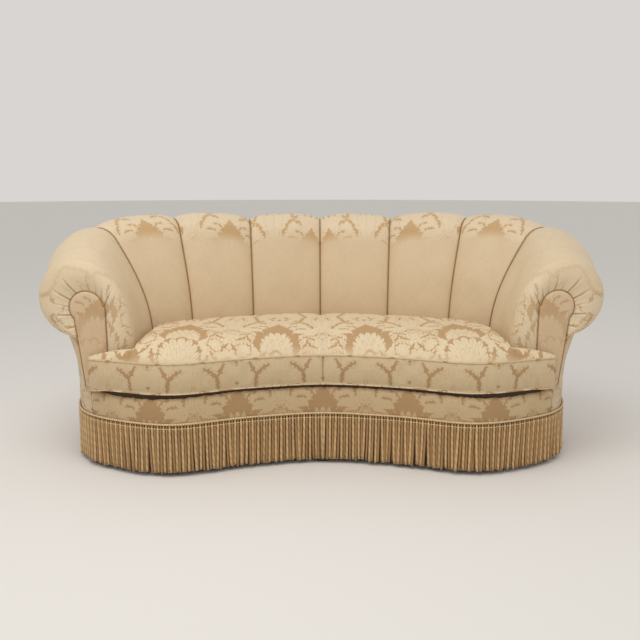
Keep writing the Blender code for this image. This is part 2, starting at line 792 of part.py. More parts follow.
def make_linings(burlap, parent):
    make_object("inside_back_lining", lining(back_stations()), burlap, parent)
    for side, sign in (("right", 1), ("left", -1)):
        stations = [sign * between(3 + SEAM_GAP_SHARE, 4, share) for share in ARM_LAYER_SHARES]
        make_object(f"inside_arm_lining_{side}", lining(stations), burlap, parent)


def panel_ring(station, step, side=1, ahead=0, crown=None):
    """Section of an outside panel: tucked up beside the end of the roll, down to the base."""
    crown = crown or crown_profile(station, 0)[-1]
    bar = bar_profile(station)[-1]
    height = between(crown[1], bar[1], PANEL_TUCK_SHARE)
    reach = between(crown[0], bar[0], PANEL_TUCK_SHARE) - PANEL_FIT
    low = base_point(side * step, COVER_INSET)
    back = base_point(side * step, COVER_INSET + COVER_THICKNESS)
    return [place(side * station, reach, height, ahead), (*low, BORDER_TOP), (*low, COVER_BOTTOM),
            (*back, COVER_BOTTOM), (*back, BORDER_TOP),
            place(side * station, reach - COVER_THICKNESS, height, ahead)]


def panel_steps(first, last):
    return [(station_of_step(step), step) for step in base_steps(first, last)]


def make_outside_panels(fabric, parent):
    right = [panel_ring(*at) for at in panel_steps(CORNER_STEP + STEP_FIT, OUTLINE_STEPS)]
    left = [panel_ring(*at, -1) for at in panel_steps(CORNER_STEP + STEP_FIT, OUTLINE_STEPS)]
    make_object("outside_back", loft(right + left[-2::-1]), fabric, parent)
    roll_end, nose_end = crown_profile(4, 0)[-1], keyhole_profile(FACING_HEM)[-1]
    for side, sign in (("right", 1), ("left", -1)):
        rings = []
        for step in base_steps(ARM_STEP + 2 * STEP_FIT, SIDE_STEP)[:-1]:
            share = (SIDE_STEP - step) / (SIDE_STEP - ARM_STEP)
            crown = [between(a, b, share) for a, b in zip(roll_end, nose_end)]
            rings.append(panel_ring(4, step, sign, share * (ARM_NOSE - FIT), crown))
        rings += [panel_ring(*at, sign) for at in panel_steps(SIDE_STEP, CORNER_STEP - STEP_FIT)]
        make_object(f"outside_arm_{side}", loft(rings), fabric, parent)


def make_facings(fabric, parent):
    """Keyhole panel on each arm front, from the deck up."""
    foot = (FACING_STEM_OUTER, DECK_TOP + FIT)
    outline = [(FACING_STEM_INNER, DECK_TOP + FIT), *keyhole_profile()[1:], foot]
    for side, sign in (("right", 1), ("left", -1)):
        rings = [[place(sign * 4, at, height, ahead) for at, height in outline]
                 for ahead in (ARM_NOSE + FIT, ARM_NOSE + FIT + FACING_THICKNESS)]
        make_object(f"arm_facing_{side}", loft(rings), fabric, parent)


def make_border(fabric, parent):
    end = ARM_STEP
    bm = base_band(-end, end, COVER_INSET, COVER_INSET + COVER_THICKNESS, COVER_BOTTOM, BORDER_TOP)
    make_object("front_border", bm, fabric, parent)


# Fringe

def strand(bm, root, index):
    """One hanging cord of three sides, drawn out of its cell on the underside of the heading."""
    near_left, near_right, far_right, far_left = root
    width = (near_right.co - near_left.co).length
    half = min(STRAND_WIDTH / width, 1) / 2
    front, back = STRAND_INSET_SHARES

    def corner(across, depth):
        near, far = (a.co.lerp(b.co, across)
                     for a, b in ((near_left, near_right), (far_left, far_right)))
        return bm.verts.new(near.lerp(far, depth))

    apex, right_root, left_root = corner(0.5, front), corner(0.5 + half, back), corner(0.5 - half, back)
    bm.faces.new((near_left, near_right, apex))
    bm.faces.new((near_right, far_right, right_root, apex))
    bm.faces.new((far_right, far_left, left_root, right_root))
    bm.faces.new((far_left, near_left, apex, left_root))
    along = (near_right.co - near_left.co) / width
    sway = along * STRAND_SWAY * math.sin(SWAY_ANGLE * index)
    tips = []
    for vert in (apex, right_root, left_root):
        low = vert.co + sway
        tips.append(bm.verts.new((low.x, low.y, FRINGE_BOTTOM)))
    roots = (apex, right_root, left_root)
    for k in range(3):
        bm.faces.new((roots[k], roots[k - 2], tips[k - 2], tips[k]))
    bm.faces.new(tips)


def fringe(first, last):
    """A length of heading with its hanging cords fused to it."""
    per_step = round(OUTLINE_LENGTH / OUTLINE_STEPS / STRAND_PITCH)
    corners = [first + STEP_FIT, *range(first + 1, last), last - STEP_FIT]
    steps = [between(a, b, k / per_step)
             for a, b in zip(corners, corners[1:]) for k in range(per_step)] + [corners[-1]]
    root = FRINGE_TOP - FRINGE_HEADER
    bm = bmesh.new()

    def row(places, inset, height):
        return [bm.verts.new((*base_point(step, inset), height)) for step in places]

    near_low, far_low = row(steps, 0, root), row(steps, FRINGE_THICKNESS, root)
    near_top, far_top = row(corners, 0, FRINGE_TOP), row(corners, FRINGE_THICKNESS, FRINGE_TOP)
    for index in range(len(corners) - 1):
        low = index * per_step
        for top, line in ((near_top, near_low), (far_top, far_low)):
            bm.faces.new([top[index], top[index + 1], *line[low:low + per_step + 1][::-1]])
        bm.faces.new((near_top[index], near_top[index + 1], far_top[index + 1], far_top[index]))
    for end in (0, -1):
        bm.faces.new((near_low[end], far_low[end], far_top[end], near_top[end]))
    for k in range(len(steps) - 1):
        strand(bm, (near_low[k], near_low[k + 1], far_low[k + 1], far_low[k]), first + k)
    return bm


def make_fringe(yarn, parent):
    for name, first, last in zip(("front", "side", "back"), FRINGE_STEPS, FRINGE_STEPS[1:]):
        make_object(f"fringe_{name}_right", fringe(first, last), yarn, parent)
        make_object(f"fringe_{name}_left", fringe(-last, -first), yarn, parent)


# Bench cushion

def crown_height(share):
    """Rise of the cushion's top across its depth, as a share of its crown: none at its edges."""
    return 1 - (2 * share - 1) ** 4


def step_at_width(width, inset):
    """Step on the front of the inset outline at a place along the sofa."""
    line = (OUTLINE + OUTLINE_INWARD * inset)[:, 0]
    low = int(np.argmax(line > width)) - 1
    return low + (width - line[low]) / (line[low + 1] - line[low])


def cushion_columns(inset):
    """Back point, front point and crown of each section of the right half, ear to centre."""
    clearance = CUSHION_CLEARANCE + inset
    notch = FACING_FRONT - clearance
    front_inset = inset - CUSHION_OVERHANG
    tip_step = step_at_depth(notch - EAR_TIP, front_inset)
    tip = base_point(tip_step, front_inset)
    corner = (SEAT_HALF_WIDTH - clearance, notch)
    corner_step = step_at_width(corner[0], front_inset)
    columns = []
    for share, crown in zip(EAR_SHARES, EAR_CROWN_SHARES):
        step = between(corner_step, tip_step, share)
        back = (between(corner[0], tip[0], share), notch)
        columns.append((back, base_point(step, front_inset), crown))
    backs = [corner] + foot_path(-clearance, SEAT_STATIONS[1:])
    for back, share, crown in zip(backs, FRONT_STEP_SHARES, SEAT_CROWN_SHARES):
        columns.append((back, base_point(share * corner_step, front_inset), crown))
    return columns


def cushion_ring(back, front, crown, inset):
    """Section from the back edge to the front edge, with its boxing and its crown."""
    bottom = CUSHION_BOTTOM + inset
    top = CUSHION_BOTTOM + CUSHION_EDGE - inset
    length = math.hypot(front[0] - back[0], front[1] - back[1])
    drawn = 1 - CUSHION_BULGE / max(length, CUSHION_BULGE_REACH)
    middle = (bottom + top) / 2
    section = [(0, bottom), (BOX_MIDDLE_SHARE, bottom), (drawn, bottom), (1, middle), (drawn, top)]
    section += [(share * drawn, top + CUSHION_CROWN * crown * crown_height(share))
                for share in CROWN_SHARES]
    section += [(0, top), (0, middle)]
    return [(between(back[0], front[0], share), between(back[1], front[1], share), height)
            for share, height in section]


def cushion_body(inset):
    right = [cushion_ring(*column, inset) for column in cushion_columns(inset)]
    left = [[(-x, y, z) for x, y, z in ring] for ring in right[-2::-1]]
    return loft(right + left, by_order=True)


def make_cutter(name, bm, parent):
    cutter = make_object(name, bm, bpy.data.materials["damask"], parent)
    cutter.hide_render = True
    cutter.display_type = "WIRE"
    return cutter


def zip_band(clear, near, far, ends):
    """Strip along the middle of the back boxing, between two depths behind the cushion's face."""
    middle = CUSHION_BOTTOM + CUSHION_EDGE / 2
    low, high = middle - ZIP_WIDTH / 2 + clear, middle + ZIP_WIDTH / 2 - clear
    rings = []
    for station in ZIP_STATIONS:
        at = station * (1 - ends)
        rings.append([place(at, -CUSHION_CLEARANCE - near, low),
                      place(at, -CUSHION_CLEARANCE - near, high),
                      place(at, -CUSHION_CLEARANCE - far, high),
                      place(at, -CUSHION_CLEARANCE - far, low)])
    return loft(rings)


def make_cushion(fabric, foam, tape, parent):
    cover = make_object("seat_cushion_cover", cushion_body(0), fabric, parent, True)
    hollow = make_cutter("cushion_hollow", cushion_body(TICKING_THICKNESS), parent)
    slot = make_cutter("cushion_slot",
                       zip_band(0, -CUT_OVERRUN, TICKING_THICKNESS + FIT / 2, 0), parent)
    for cutter in (hollow, slot):
        cut = cover.modifiers.new(cutter.name, "BOOLEAN")
        cut.object = cutter
        cut.operation = "DIFFERENCE"
    core = cushion_body(TICKING_THICKNESS + FIT)
    make_object("seat_cushion_core", core, foam, parent, True)
    band = zip_band(FIT, FIT, TICKING_THICKNESS - FIT, ZIP_END_SHARE)
    make_object("seat_cushion_zip", band, tape, parent)


def centre_on_origin(sofa):
    """Moves the whole sofa so that its depth is centred on the origin."""
    depths = [vert.co.y + (item.parent.location.y if item.parent.parent else 0)
              for item in sofa.children_recursive
              if item.type == "MESH" and not item.hide_render for vert in item.data.vertices]
    sofa.location.y = -(min(depths) + max(depths)) / 2


def main():
    clear_scene()
    sofa = make_empty("sofa", (0, 0, 0))
    wood = make_material("frame_wood", (0.45, 0.32, 0.19), 0.6)
    dark_wood = make_material("leg_wood", (0.09, 0.05, 0.03), 0.45)
    steel = make_material("spring_steel", (0.30, 0.30, 0.32), 0.4, 1.0)
    burlap = make_material("burlap", (0.42, 0.32, 0.20), 0.9)
    deck = make_material("deck_cloth", (0.55, 0.43, 0.28), 0.85)
    cambric = make_material("cambric", (0.02, 0.02, 0.02), 0.9)
    damask = make_material("damask", (0.66, 0.50, 0.30), 0.5)
    yarn = make_material("fringe_yarn", (0.55, 0.39, 0.19), 0.6)
    foam = make_material("foam", (0.78, 0.72, 0.52), 0.9)
    tape = make_material("zip_tape", (0.60, 0.47, 0.28), 0.6)
    make_rails(wood, sofa)
    make_corner_blocks(wood, sofa)
    make_seat_braces(wood, sofa)
    make_posts(wood, sofa)
    make_roll_bars(wood, sofa)
    make_arm_boards(wood, sofa)
    make_legs(dark_wood, sofa)
    make_springs(steel, sofa)
    make_deck(deck, burlap, sofa)
    make_dust_cover(cambric, sofa)
    make_padding(damask, sofa)
    make_linings(burlap, sofa)
    make_outside_panels(damask, sofa)
    make_facings(damask, sofa)
    make_border(damask, sofa)
    make_fringe(yarn, sofa)
    lift = make_empty("cushion_lift", (0, -SEAT_DEPTH / 2, CUSHION_BOTTOM), sofa)
    make_cushion(damask, foam, tape, lift)
    centre_on_origin(sofa)


main()
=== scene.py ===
"""Looks of a kidney-shaped sofa with a channelled back, rolled arms and one loose bench cushion."""

import math

import bmesh
import bpy
import numpy as np
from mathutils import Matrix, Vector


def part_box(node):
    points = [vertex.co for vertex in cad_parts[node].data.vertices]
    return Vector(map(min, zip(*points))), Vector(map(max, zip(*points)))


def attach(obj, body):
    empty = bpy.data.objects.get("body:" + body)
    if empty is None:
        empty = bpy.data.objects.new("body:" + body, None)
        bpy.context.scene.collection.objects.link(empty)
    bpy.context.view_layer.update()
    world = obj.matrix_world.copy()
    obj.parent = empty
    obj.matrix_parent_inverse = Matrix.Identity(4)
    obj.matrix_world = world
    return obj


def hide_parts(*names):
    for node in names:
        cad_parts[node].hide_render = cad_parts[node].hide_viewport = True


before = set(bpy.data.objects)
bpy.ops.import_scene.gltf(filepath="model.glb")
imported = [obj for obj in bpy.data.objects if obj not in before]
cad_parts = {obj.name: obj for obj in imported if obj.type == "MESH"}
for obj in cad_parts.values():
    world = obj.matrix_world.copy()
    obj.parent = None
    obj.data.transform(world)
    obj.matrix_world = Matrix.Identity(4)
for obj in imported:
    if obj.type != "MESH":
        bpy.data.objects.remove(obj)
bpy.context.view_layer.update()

# Camera, floor and light
# The sofa stands in an empty studio on a plain pale floor. The camera is at eye height of someone
# seated in front of it, and the light is soft, from large lamps above and in front.
fit = 0.0003
foot_of_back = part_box("seat_deck")[1].y + fit
eye_height, eye_distance, eye_aside = 1.055, 3.243, -0.05
look_down, look_aside = 10.94, -0.85
lamp_aim, lamp_size = (0, 0, 0.4), 2.4
lamps = (("key", (-0.9, -1.5, 3.2), 46), ("fill", (2.2, -2.4, 2.6), 10))
sky_strength = 0.66


def placed(name, data):
    """A new object of the scene that holds this data."""
    item = bpy.data.objects.new(name, data)
    bpy.context.scene.collection.objects.link(item)
    return item


lens = bpy.data.cameras.new("camera")
lens.lens = 42.19
lens.sensor_width = 36
camera = placed("camera", lens)
camera.location = (eye_aside, foot_of_back - eye_distance, eye_height)
camera.rotation_euler = (math.radians(90 - look_down), 0, math.radians(look_aside))
bpy.context.scene.camera = camera
bpy.context.scene.view_settings.view_transform = "Standard"


def seen_colour(red, green, blue):
    """A colour as it is seen, from 0 to 255, as the shader takes it."""
    parts = [part / 255 for part in (red, green, blue)]
    parts = [part / 12.92 if part <= 0.04045 else ((part + 0.055) / 1.055) ** 2.4 for part in parts]
    return (*parts, 1)


def add_node(tree, kind, inputs=None, **settings):
    """A node with its settings, whose named inputs take a value or another node's output."""
    item = tree.nodes.new(kind)
    for name, value in settings.items():
        setattr(item, name, value)
    for name, value in (inputs or {}).items():
        value = getattr(value, "socket", value)
        if isinstance(value, bpy.types.NodeSocket):
            tree.links.new(value, item.inputs[name])
        else:
            item.inputs[name].default_value = value
    return item


def new_material(name, **shader_values):
    """A material, its node tree and its shader, with plain values on the shader's own sockets."""
    material = bpy.data.materials.new(name)
    material.use_nodes = True
    shader = material.node_tree.nodes["Principled BSDF"]
    for socket, value in shader_values.items():
        shader.inputs[socket.replace("_", " ")].default_value = value
    return material, material.node_tree, shader


floor_finish, tree, shader = new_material("studio floor", Roughness=0.9)
shader.inputs["Base Color"].default_value = seen_colour(229, 224, 217)
bm = bmesh.new()
bmesh.ops.create_circle(bm, cap_ends=True, segments=96, radius=30)
mesh = bpy.data.meshes.new("floor")
bm.to_mesh(mesh)
bm.free()
mesh.materials.append(floor_finish)
placed("floor", mesh)

world = bpy.data.worlds.new("studio")
world.use_nodes = True
tree = world.node_tree
tree.nodes.clear()
rays = add_node(tree, "ShaderNodeLightPath").outputs
seen = rays["Is Camera Ray"]
for ray in ("Is Glossy Ray", "Is Transmission Ray"):
    seen = add_node(tree, "ShaderNodeMath", {0: seen, 1: rays[ray]}, operation="MAXIMUM").outputs[0]
light, backdrop = (add_node(tree, "ShaderNodeBackground", {"Color": colour, "Strength": strength})
                   for colour, strength in (((1, 1, 1, 1), sky_strength),
                                            (seen_colour(216, 213, 211), 1)))
mixed = add_node(tree, "ShaderNodeMixShader", {0: seen, 1: light.outputs[0],
                                               2: backdrop.outputs[0]})
add_node(tree, "ShaderNodeOutputWorld", {"Surface": mixed.outputs[0]})
bpy.context.scene.world = world

for name, stand, power in lamps:
    data = bpy.data.lights.new(name, "AREA")
    data.energy = power
    data.size = lamp_size
    lamp = placed(name, data)
    lamp.location = stand
    x, y, z = (b - a for a, b in zip(stand, lamp_aim))
    lamp.rotation_euler = (math.atan2(math.hypot(x, y), -z), 0, math.atan2(y, x) - math.pi / 2)

# Wooden frame
# Rails, posts, braces and shaped boards of pale hardwood are glued and screwed together under the
# upholstery. Their sawn faces are left bare, since cloth and padding cover them.


class Reckon:
    """A socket in a node tree that adds a Math node for each sum written with it."""

    def __init__(self, tree, socket):
        self.tree, self.socket = tree, socket

    def math(self, operation, *others):
        values = {k: other for k, other in enumerate((self, *others))}
        return Reckon(self.tree, add_node(self.tree, "ShaderNodeMath", values,
                                          operation=operation).outputs[0])

    def from_0_to_1(self):
        return self.math("MAXIMUM", 0.0).math("MINIMUM", 1.0)

    def __add__(self, other):
        return self.math("ADD", other)

    def __mul__(self, other):
        return self.math("MULTIPLY", other)

    def __sub__(self, other):
        return self.math("SUBTRACT", other)

    def __truediv__(self, other):
        return self.math("DIVIDE", other)

    def __pow__(self, other):
        return self.math("POWER", other)

    def __rsub__(self, other):
        return self.math("MULTIPLY", -1.0).math("ADD", other)

    __radd__ = __add__
    __rmul__ = __mul__


def new_group(name, inputs, outputs, of="ShaderNodeTree"):
    """A node group with inputs given as (name, kind, value), and these inputs to reckon with."""
    tree = bpy.data.node_groups.new(name, of)
    for label, kind, value in inputs:
        socket = tree.interface.new_socket(label, in_out="INPUT", socket_type=f"NodeSocket{kind}")
        if value is not None:
            socket.default_value = value
    for label, kind in outputs:
        tree.interface.new_socket(label, in_out="OUTPUT", socket_type=f"NodeSocket{kind}")
    source = add_node(tree, "NodeGroupInput").outputs
    return tree, {label: Reckon(tree, source[label]) for label, *_ in inputs}


def object_place(tree):
    return add_node(tree, "ShaderNodeTexCoord").outputs["Object"]


def noise_at(tree, where, scale, detail, drawn=None, **settings):
    """Smooth noise from 0 to 1, finer along the axes with the larger figures of drawn."""
    if drawn:
        where = add_node(tree, "ShaderNodeMapping", {"Vector": where, "Scale": drawn}).outputs[0]
    return Reckon(tree, add_node(tree, "ShaderNodeTexNoise", {
        "Vector": where, "Scale": scale, "Detail": detail}, **settings).outputs[0])


def grain_group():
    """Growth rings and fine pores drawn out along the timber: how dark it is, and its height."""
    tree, source = new_group("grain", [("Along", "Vector", (1.0, 14.0, 14.0)),
                                       ("Rings", "Float", 9.0), ("Pores", "Float", 90.0)],
                             [("Dark", "Float"), ("Height", "Float")])
    drawn = add_node(tree, "ShaderNodeVectorMath", {0: object_place(tree), 1: source["Along"]},
                     operation="MULTIPLY").outputs[0]
    rings = (noise_at(tree, drawn, 0.7, 2.0) * source["Rings"]).math("FRACT")
    rings = (rings * (1.0 - rings) * 4.0) ** 0.7
    pores = noise_at(tree, drawn, source["Pores"], 2.0)
    add_node(tree, "NodeGroupOutput", {"Dark": rings * 0.5 + pores * 0.6,
                                       "Height": pores - rings * 0.2})
    return tree


grain_nodes = grain_group()


def coloured(tree, shader, share, first, second, shade=None):
    """Joins the shader's colour to a mix of two colours, made lighter or darker by a shade."""
    colour = add_node(tree, "ShaderNodeMix", {0: share, 6: seen_colour(*first),
                                              7: seen_colour(*second)}, data_type="RGBA").outputs[2]
    if shade is not None:
        colour = add_node(tree, "ShaderNodeVectorMath", {0: colour, "Scale": shade},
                          operation="SCALE").outputs[0]
    tree.links.new(colour, shader.inputs["Base Color"])


def roughened(tree, shader, share, first, second):
    """Joins the shader's roughness to a share that leads from one value to the other."""
    rough = add_node(tree, "ShaderNodeMapRange", {0: share, 3: first, 4: second})
    tree.links.new(rough.outputs[0], shader.inputs["Roughness"])


def raised(tree, shader, height, strength, distance):
    """Joins the shader's normal to a bump of this height."""
    bump = add_node(tree, "ShaderNodeBump", {"Height": height, "Strength": strength,
                                             "Distance": distance})
    tree.links.new(bump.outputs[0], shader.inputs["Normal"])


def timber(name, light, dark, along, roughness, coat=0.0):
    """Wood whose grain runs along the axis with the smallest figure of along."""
    material, tree, shader = new_material(name, Coat_Weight=coat, Coat_Roughness=0.25)
    grain = add_node(tree, "ShaderNodeGroup", {"Along": along}, node_tree=grain_nodes)
    coloured(tree, shader, grain.outputs["Dark"], light, dark)
    roughened(tree, shader, grain.outputs["Dark"], roughness, roughness + 0.15)
    raised(tree, shader, grain.outputs["Height"], 0.3, 0.0006)
    return material


def finish_nodes(material, *names):
    """Gives CAD nodes of the frame their finish."""
    for name in names:
        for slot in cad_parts[name].material_slots:
            slot.material = material


both_sides = (("right", 1), ("left", -1))
sides = [side for side, _ in both_sides]
finish_nodes(timber("rail timber", (205, 172, 124), (160, 122, 78), (1, 16, 16), 0.6),
             "front_rail", "back_rail", "top_rail", *(f"arm_rail_{side}" for side in sides))
finish_nodes(timber("side rail timber", (202, 168, 120), (156, 118, 75), (16, 1.4, 16), 0.6),
             *(f"{name}_{side}" for name in ("side_rail", "seat_brace") for side in sides))
finish_nodes(timber("upright timber", (208, 176, 130), (164, 126, 82), (18, 18, 1.2), 0.6),
             *(f"{name}_{side}" for side in sides for name in
               ("corner_block", "back_post_inner", "back_post_outer", "corner_post", "arm_board")))

# Springs, burlap, linings and seat deck
# Flat zigzag springs of bright steel wire run from the front rail to the back one. Burlap covers
# them and lines the padding. Deck cloth over it shows when the cushion is lifted; its near-black
# colour is painted shade, for the dark gap under the cushion's front welt.


def parts_of(tree, vector):
    """The three parts of a vector, to reckon with."""
    parts = add_node(tree, "ShaderNodeSeparateXYZ", {0: vector}).outputs
    return [Reckon(tree, part) for part in parts]


def weave_group():
    """Fine threads over and under: their height, and how light each one is."""
    tree, source = new_group("weave", [("Cloth", "Vector", None), ("Threads", "Float", 900.0),
                                       ("Slub", "Float", 0.35)],
                             [("Height", "Float"), ("Tone", "Float")])
    across, along, _ = (part * source["Threads"] * math.pi
                        for part in parts_of(tree, source["Cloth"]))
    height = (across.math("SINE") * along.math("SINE")).math("ABSOLUTE")
    weft, warp = (noise_at(tree, source["Cloth"], 1.0, 2.0, drawn=drawn)
                  for drawn in ((26, 420, 1), (420, 26, 1)))
    tone = weft * 0.5 + warp * 0.5
    add_node(tree, "NodeGroupOutput", {"Height": height + source["Slub"] * tone, "Tone": tone})
    return tree


weave_nodes = weave_group()


def plain_cloth(name, light, dark, threads, roughness, deep, upright=False):
    """A plain weave of uneven threads, lying flat or standing upright."""
    material, tree, shader = new_material(name, Roughness=roughness, Sheen_Weight=0.1)
    where = object_place(tree)
    if upright:
        x, y, z = parts_of(tree, where)
        where = add_node(tree, "ShaderNodeCombineXYZ", {0: x + y, 1: z}).outputs[0]
    weave = add_node(tree, "ShaderNodeGroup", {"Cloth": where, "Threads": threads},
                     node_tree=weave_nodes)
    height = Reckon(tree, weave.outputs["Height"])
    tone = (height * 0.7 + Reckon(tree, weave.outputs["Tone"]) * 0.6 - 0.2).from_0_to_1()
    coloured(tree, shader, tone, dark, light)
    raised(tree, shader, height, 0.6, deep)
    return material


def clouded(name, first, second, roughness, scale, detail, **shader_values):
    """A smooth material whose colour and gloss change a little from spot to spot."""
    material, tree, shader = new_material(name, **shader_values)
    spots = noise_at(tree, object_place(tree), scale, detail)
    coloured(tree, shader, spots, first, second)
    roughened(tree, shader, spots, *roughness)
    return material


def drawn_steel(name):
    """Bright drawn wire, a little dulled along its length."""
    return clouded(name, (150, 150, 152), (196, 196, 198), (0.45, 0.25), 60.0, 3.0, Metallic=1.0)


finish_nodes(drawn_steel("spring steel"),
             *(f"seat_spring_{place}_{side}" for place in ("inner", "middle", "outer")
               for side in sides))
finish_nodes(plain_cloth("burlap", (196, 164, 116), (110, 80, 46), 420.0, 0.9, 0.0012),
             "spring_burlap")
finish_nodes(plain_cloth("burlap lining", (192, 160, 112), (108, 78, 45), 420.0, 0.9, 0.0012,
                         upright=True),
             "inside_back_lining", *(f"inside_arm_lining_{side}" for side in sides))
# Painted shade: the deck cloth is near black so that the gap under the cushion's front welt is
# dark.
finish_nodes(plain_cloth("deck cloth", (78, 57, 37), (47, 33, 20), 900.0, 0.85, 0.0004),
             "seat_deck")

# Inside back
# Six channels of padded cloth stand side by side and go over the roll at the top. Each is stuffed
# on its own and sewn to the next along a deep seam, with the pattern centred on it.
seat_half_width = 0.683
seat_depth = 0.573
back_height = 0.885
arm_height = 0.765
shoulder_reach = 0.262
back_roll_radius = 0.100
arm_roll_radius = 0.143
back_pad = 0.058
arm_pad = 0.094
roll_bar_radius = 0.042
pad_bottom = 0.2701
straight_height = 0.400
facing_inset = 0.038
facing_drop = 0.030
seam_depth = 0.031
seam_gap = 0.0016
straight_rows = 5
roll_joins, roll_ends = ((math.radians(back), math.radians(arm))
                         for back, arm in ((162, 132), (-70, -88)))
foot_pull, roll_pull = 0.38, 0.36
foot_x_shares = (0, 0.422, 0.773, 0.966, 1)
foot_y_shares = (0, 0.089, 0.264, 0.503, 1)
turn_shares = (0, 0.089, 0.333, 0.733, 1)
lean_shares = (0.725, 0.744, 0.820, 1, 0.752)
roll_top_shares = (1, 1, 1.09, 0.82, 0)
roll_radius_shares = (0, 0, 0.12, 0.53, 1)
pad_shares = (0, 0, 0.10, 0.50, 1)
roll_join_shares = (0, 0, 0.13, 0.57, 1)


def between(first, last, share):
    """The value that lies this share of the way from the first to the last."""
    return first + (last - first) * share


def ease(share):
    """A share from 0 to 1 that starts and ends slowly."""
    share = np.clip(share, 0, 1)
    return share * share * (3 - 2 * share)


def at_station(shares, station, odd=False):
    """A smooth curve through one share for each seam, counted outwards from the middle one."""
    values = np.array([(-1 if odd else 1) * shares[1], *shares, 2 * shares[4] - shares[3]])
    far = np.minimum(np.abs(station), 4)
    step = np.minimum(far.astype(int), 3)
    part = far - step
    before, start, end, after = (values[step + k] for k in range(4))
    slope_out = np.where(step < 3, (after - start) / 2, end - start)
    value = start + (end - start) * ease(part)
    value += (end - before) / 2 * part * (1 - part) ** 2 - slope_out * part * part * (1 - part)
    return np.where(station < 0, -value, value) if odd else value


def stacked(*parts):
    """Places from arrays, or single values, of their parts."""
    return np.stack(np.broadcast_arrays(*parts), -1)


def stand_at(station, reach, height, ahead=0):
    """Places outwards from the inside foot of the back, square to it at each station."""
    turn = math.pi / 2 * at_station(turn_shares, station, True)
    x = seat_half_width * at_station(foot_x_shares, station, True) + reach * np.sin(turn)
    y = foot_of_back - seat_depth * at_station(foot_y_shares, station) + reach * np.cos(turn)
    return stacked(x, y - ahead, height)


def roll_at(station):
    """Lean, centre height, radius, join angle and end angle of the roll."""
    radius = between(back_roll_radius, arm_roll_radius, at_station(roll_radius_shares, station))
    top = between(arm_height, back_height, at_station(roll_top_shares, station))
    turn = at_station(roll_join_shares, station)
    return (shoulder_reach * at_station(lean_shares, station), top - radius, radius,
            between(*roll_joins, turn), between(*roll_ends, turn))


def crown_of(station, face_rows, roll_rows):
    """Reach, height and outward direction of the padded face, row by row up and over the roll."""
    lean, centre, radius, join, end = (value[:, None] for value in roll_at(station))
    meet = lean + radius * np.cos(join), centre + radius * np.sin(join)
    slope = np.sin(join), -np.cos(join)
    span = np.hypot(meet[0], meet[1] - straight_height)
    t = np.linspace(0, 1, face_rows, endpoint=False)[None, :]
    knots = ((0, straight_height), (0, straight_height + foot_pull * span),
             (meet[0] - slope[0] * roll_pull * span, meet[1] - slope[1] * roll_pull * span), meet)
    low = np.linspace(pad_bottom, straight_height, straight_rows, endpoint=False)[None, :]
    angle = between(join, end, np.linspace(0, 1, roll_rows)[None, :])
    points, facing = [], []
    for axis in (0, 1):
        a, b, c, d = (knot[axis] for knot in knots)
        face = (1 - t) ** 3 * a + 3 * (1 - t) ** 2 * t * b + 3 * (1 - t) * t * t * c + t**3 * d
        steep = (1 - t) ** 2 * (b - a) + 2 * (1 - t) * t * (c - b) + t * t * (d - c)
        turned = (np.cos, np.sin)[axis](angle)
        straight = (low + 0 * lean) if axis else (0 * low + 0 * lean)
        points.append(np.hstack([straight, face, (lean, centre)[axis] + radius * turned]))
        facing.append((steep, turned))
    (rise_x, out_x), (rise_z, out_z) = facing
    long = np.hypot(rise_x, rise_z)
    out_x = np.hstack([-1 + 0 * low + 0 * lean, -rise_z / long, out_x])
    out_z = np.hstack([0 * low + 0 * lean, rise_x / long, out_z])
    return points[0], points[1], out_x, out_z


def bar_of(station, face_rows, roll_rows):
    """Back of the padding, row for row with its crown: up to the roll bar and round it."""
    lean, centre, radius, join, end = (value[:, None] for value in roll_at(station))
    blend = ease(np.abs(station) - 3)[:, None]
    reach, centre = lean - facing_inset * blend, centre - facing_drop * blend
    start = between(back_pad, arm_pad, at_station(pad_shares, station))[:, None]
    out, up = start - reach, pad_bottom - centre
    join = np.arctan2(up, out) % math.tau - np.arccos(roll_bar_radius / np.hypot(out, up))
    meet = reach + roll_bar_radius * np.cos(join), centre + roll_bar_radius * np.sin(join)
    low = np.linspace(pad_bottom, straight_height, straight_rows, endpoint=False) + 0 * lean
    face = between(straight_height, meet[1], np.linspace(0, 1, face_rows, endpoint=False)[None, :])
    height = np.hstack([low, face])
    share = (height - pad_bottom) / (meet[1] - pad_bottom)
    angle = between(join, end, np.linspace(0, 1, roll_rows)[None, :])
    return (np.hstack([between(start, meet[0], share), reach + roll_bar_radius * np.cos(angle)]),
            np.hstack([height, centre + roll_bar_radius * np.sin(angle)]))


def cloth_map(face, row, column):
    """Where each point lies on the flat cloth, in metres from the given row and column."""
    across = np.linalg.norm(np.diff(face, axis=1), axis=2)
    across = np.hstack([np.zeros((len(face), 1)), np.cumsum(across, axis=1)])
    along = np.linalg.norm(np.diff(face, axis=0), axis=2)
    along = np.vstack([np.zeros((1, face.shape[1])), np.cumsum(along, axis=0)])
    return np.stack([across - across[:, column][:, None], along - along[row][None, :]], -1)


def lumps(points, size, seed):
    """An uneven stuffing, from -1 to 1, that changes over about this size."""
    draw = np.random.default_rng(seed)
    total = np.zeros(points.shape[:-1])
    for _ in range(9):
        way = draw.normal(size=3)
        way *= math.tau / size * draw.uniform(0.4, 1.2) / np.linalg.norm(way)
        total += np.sin(points @ way + draw.uniform(0, math.tau))
    return total / 4


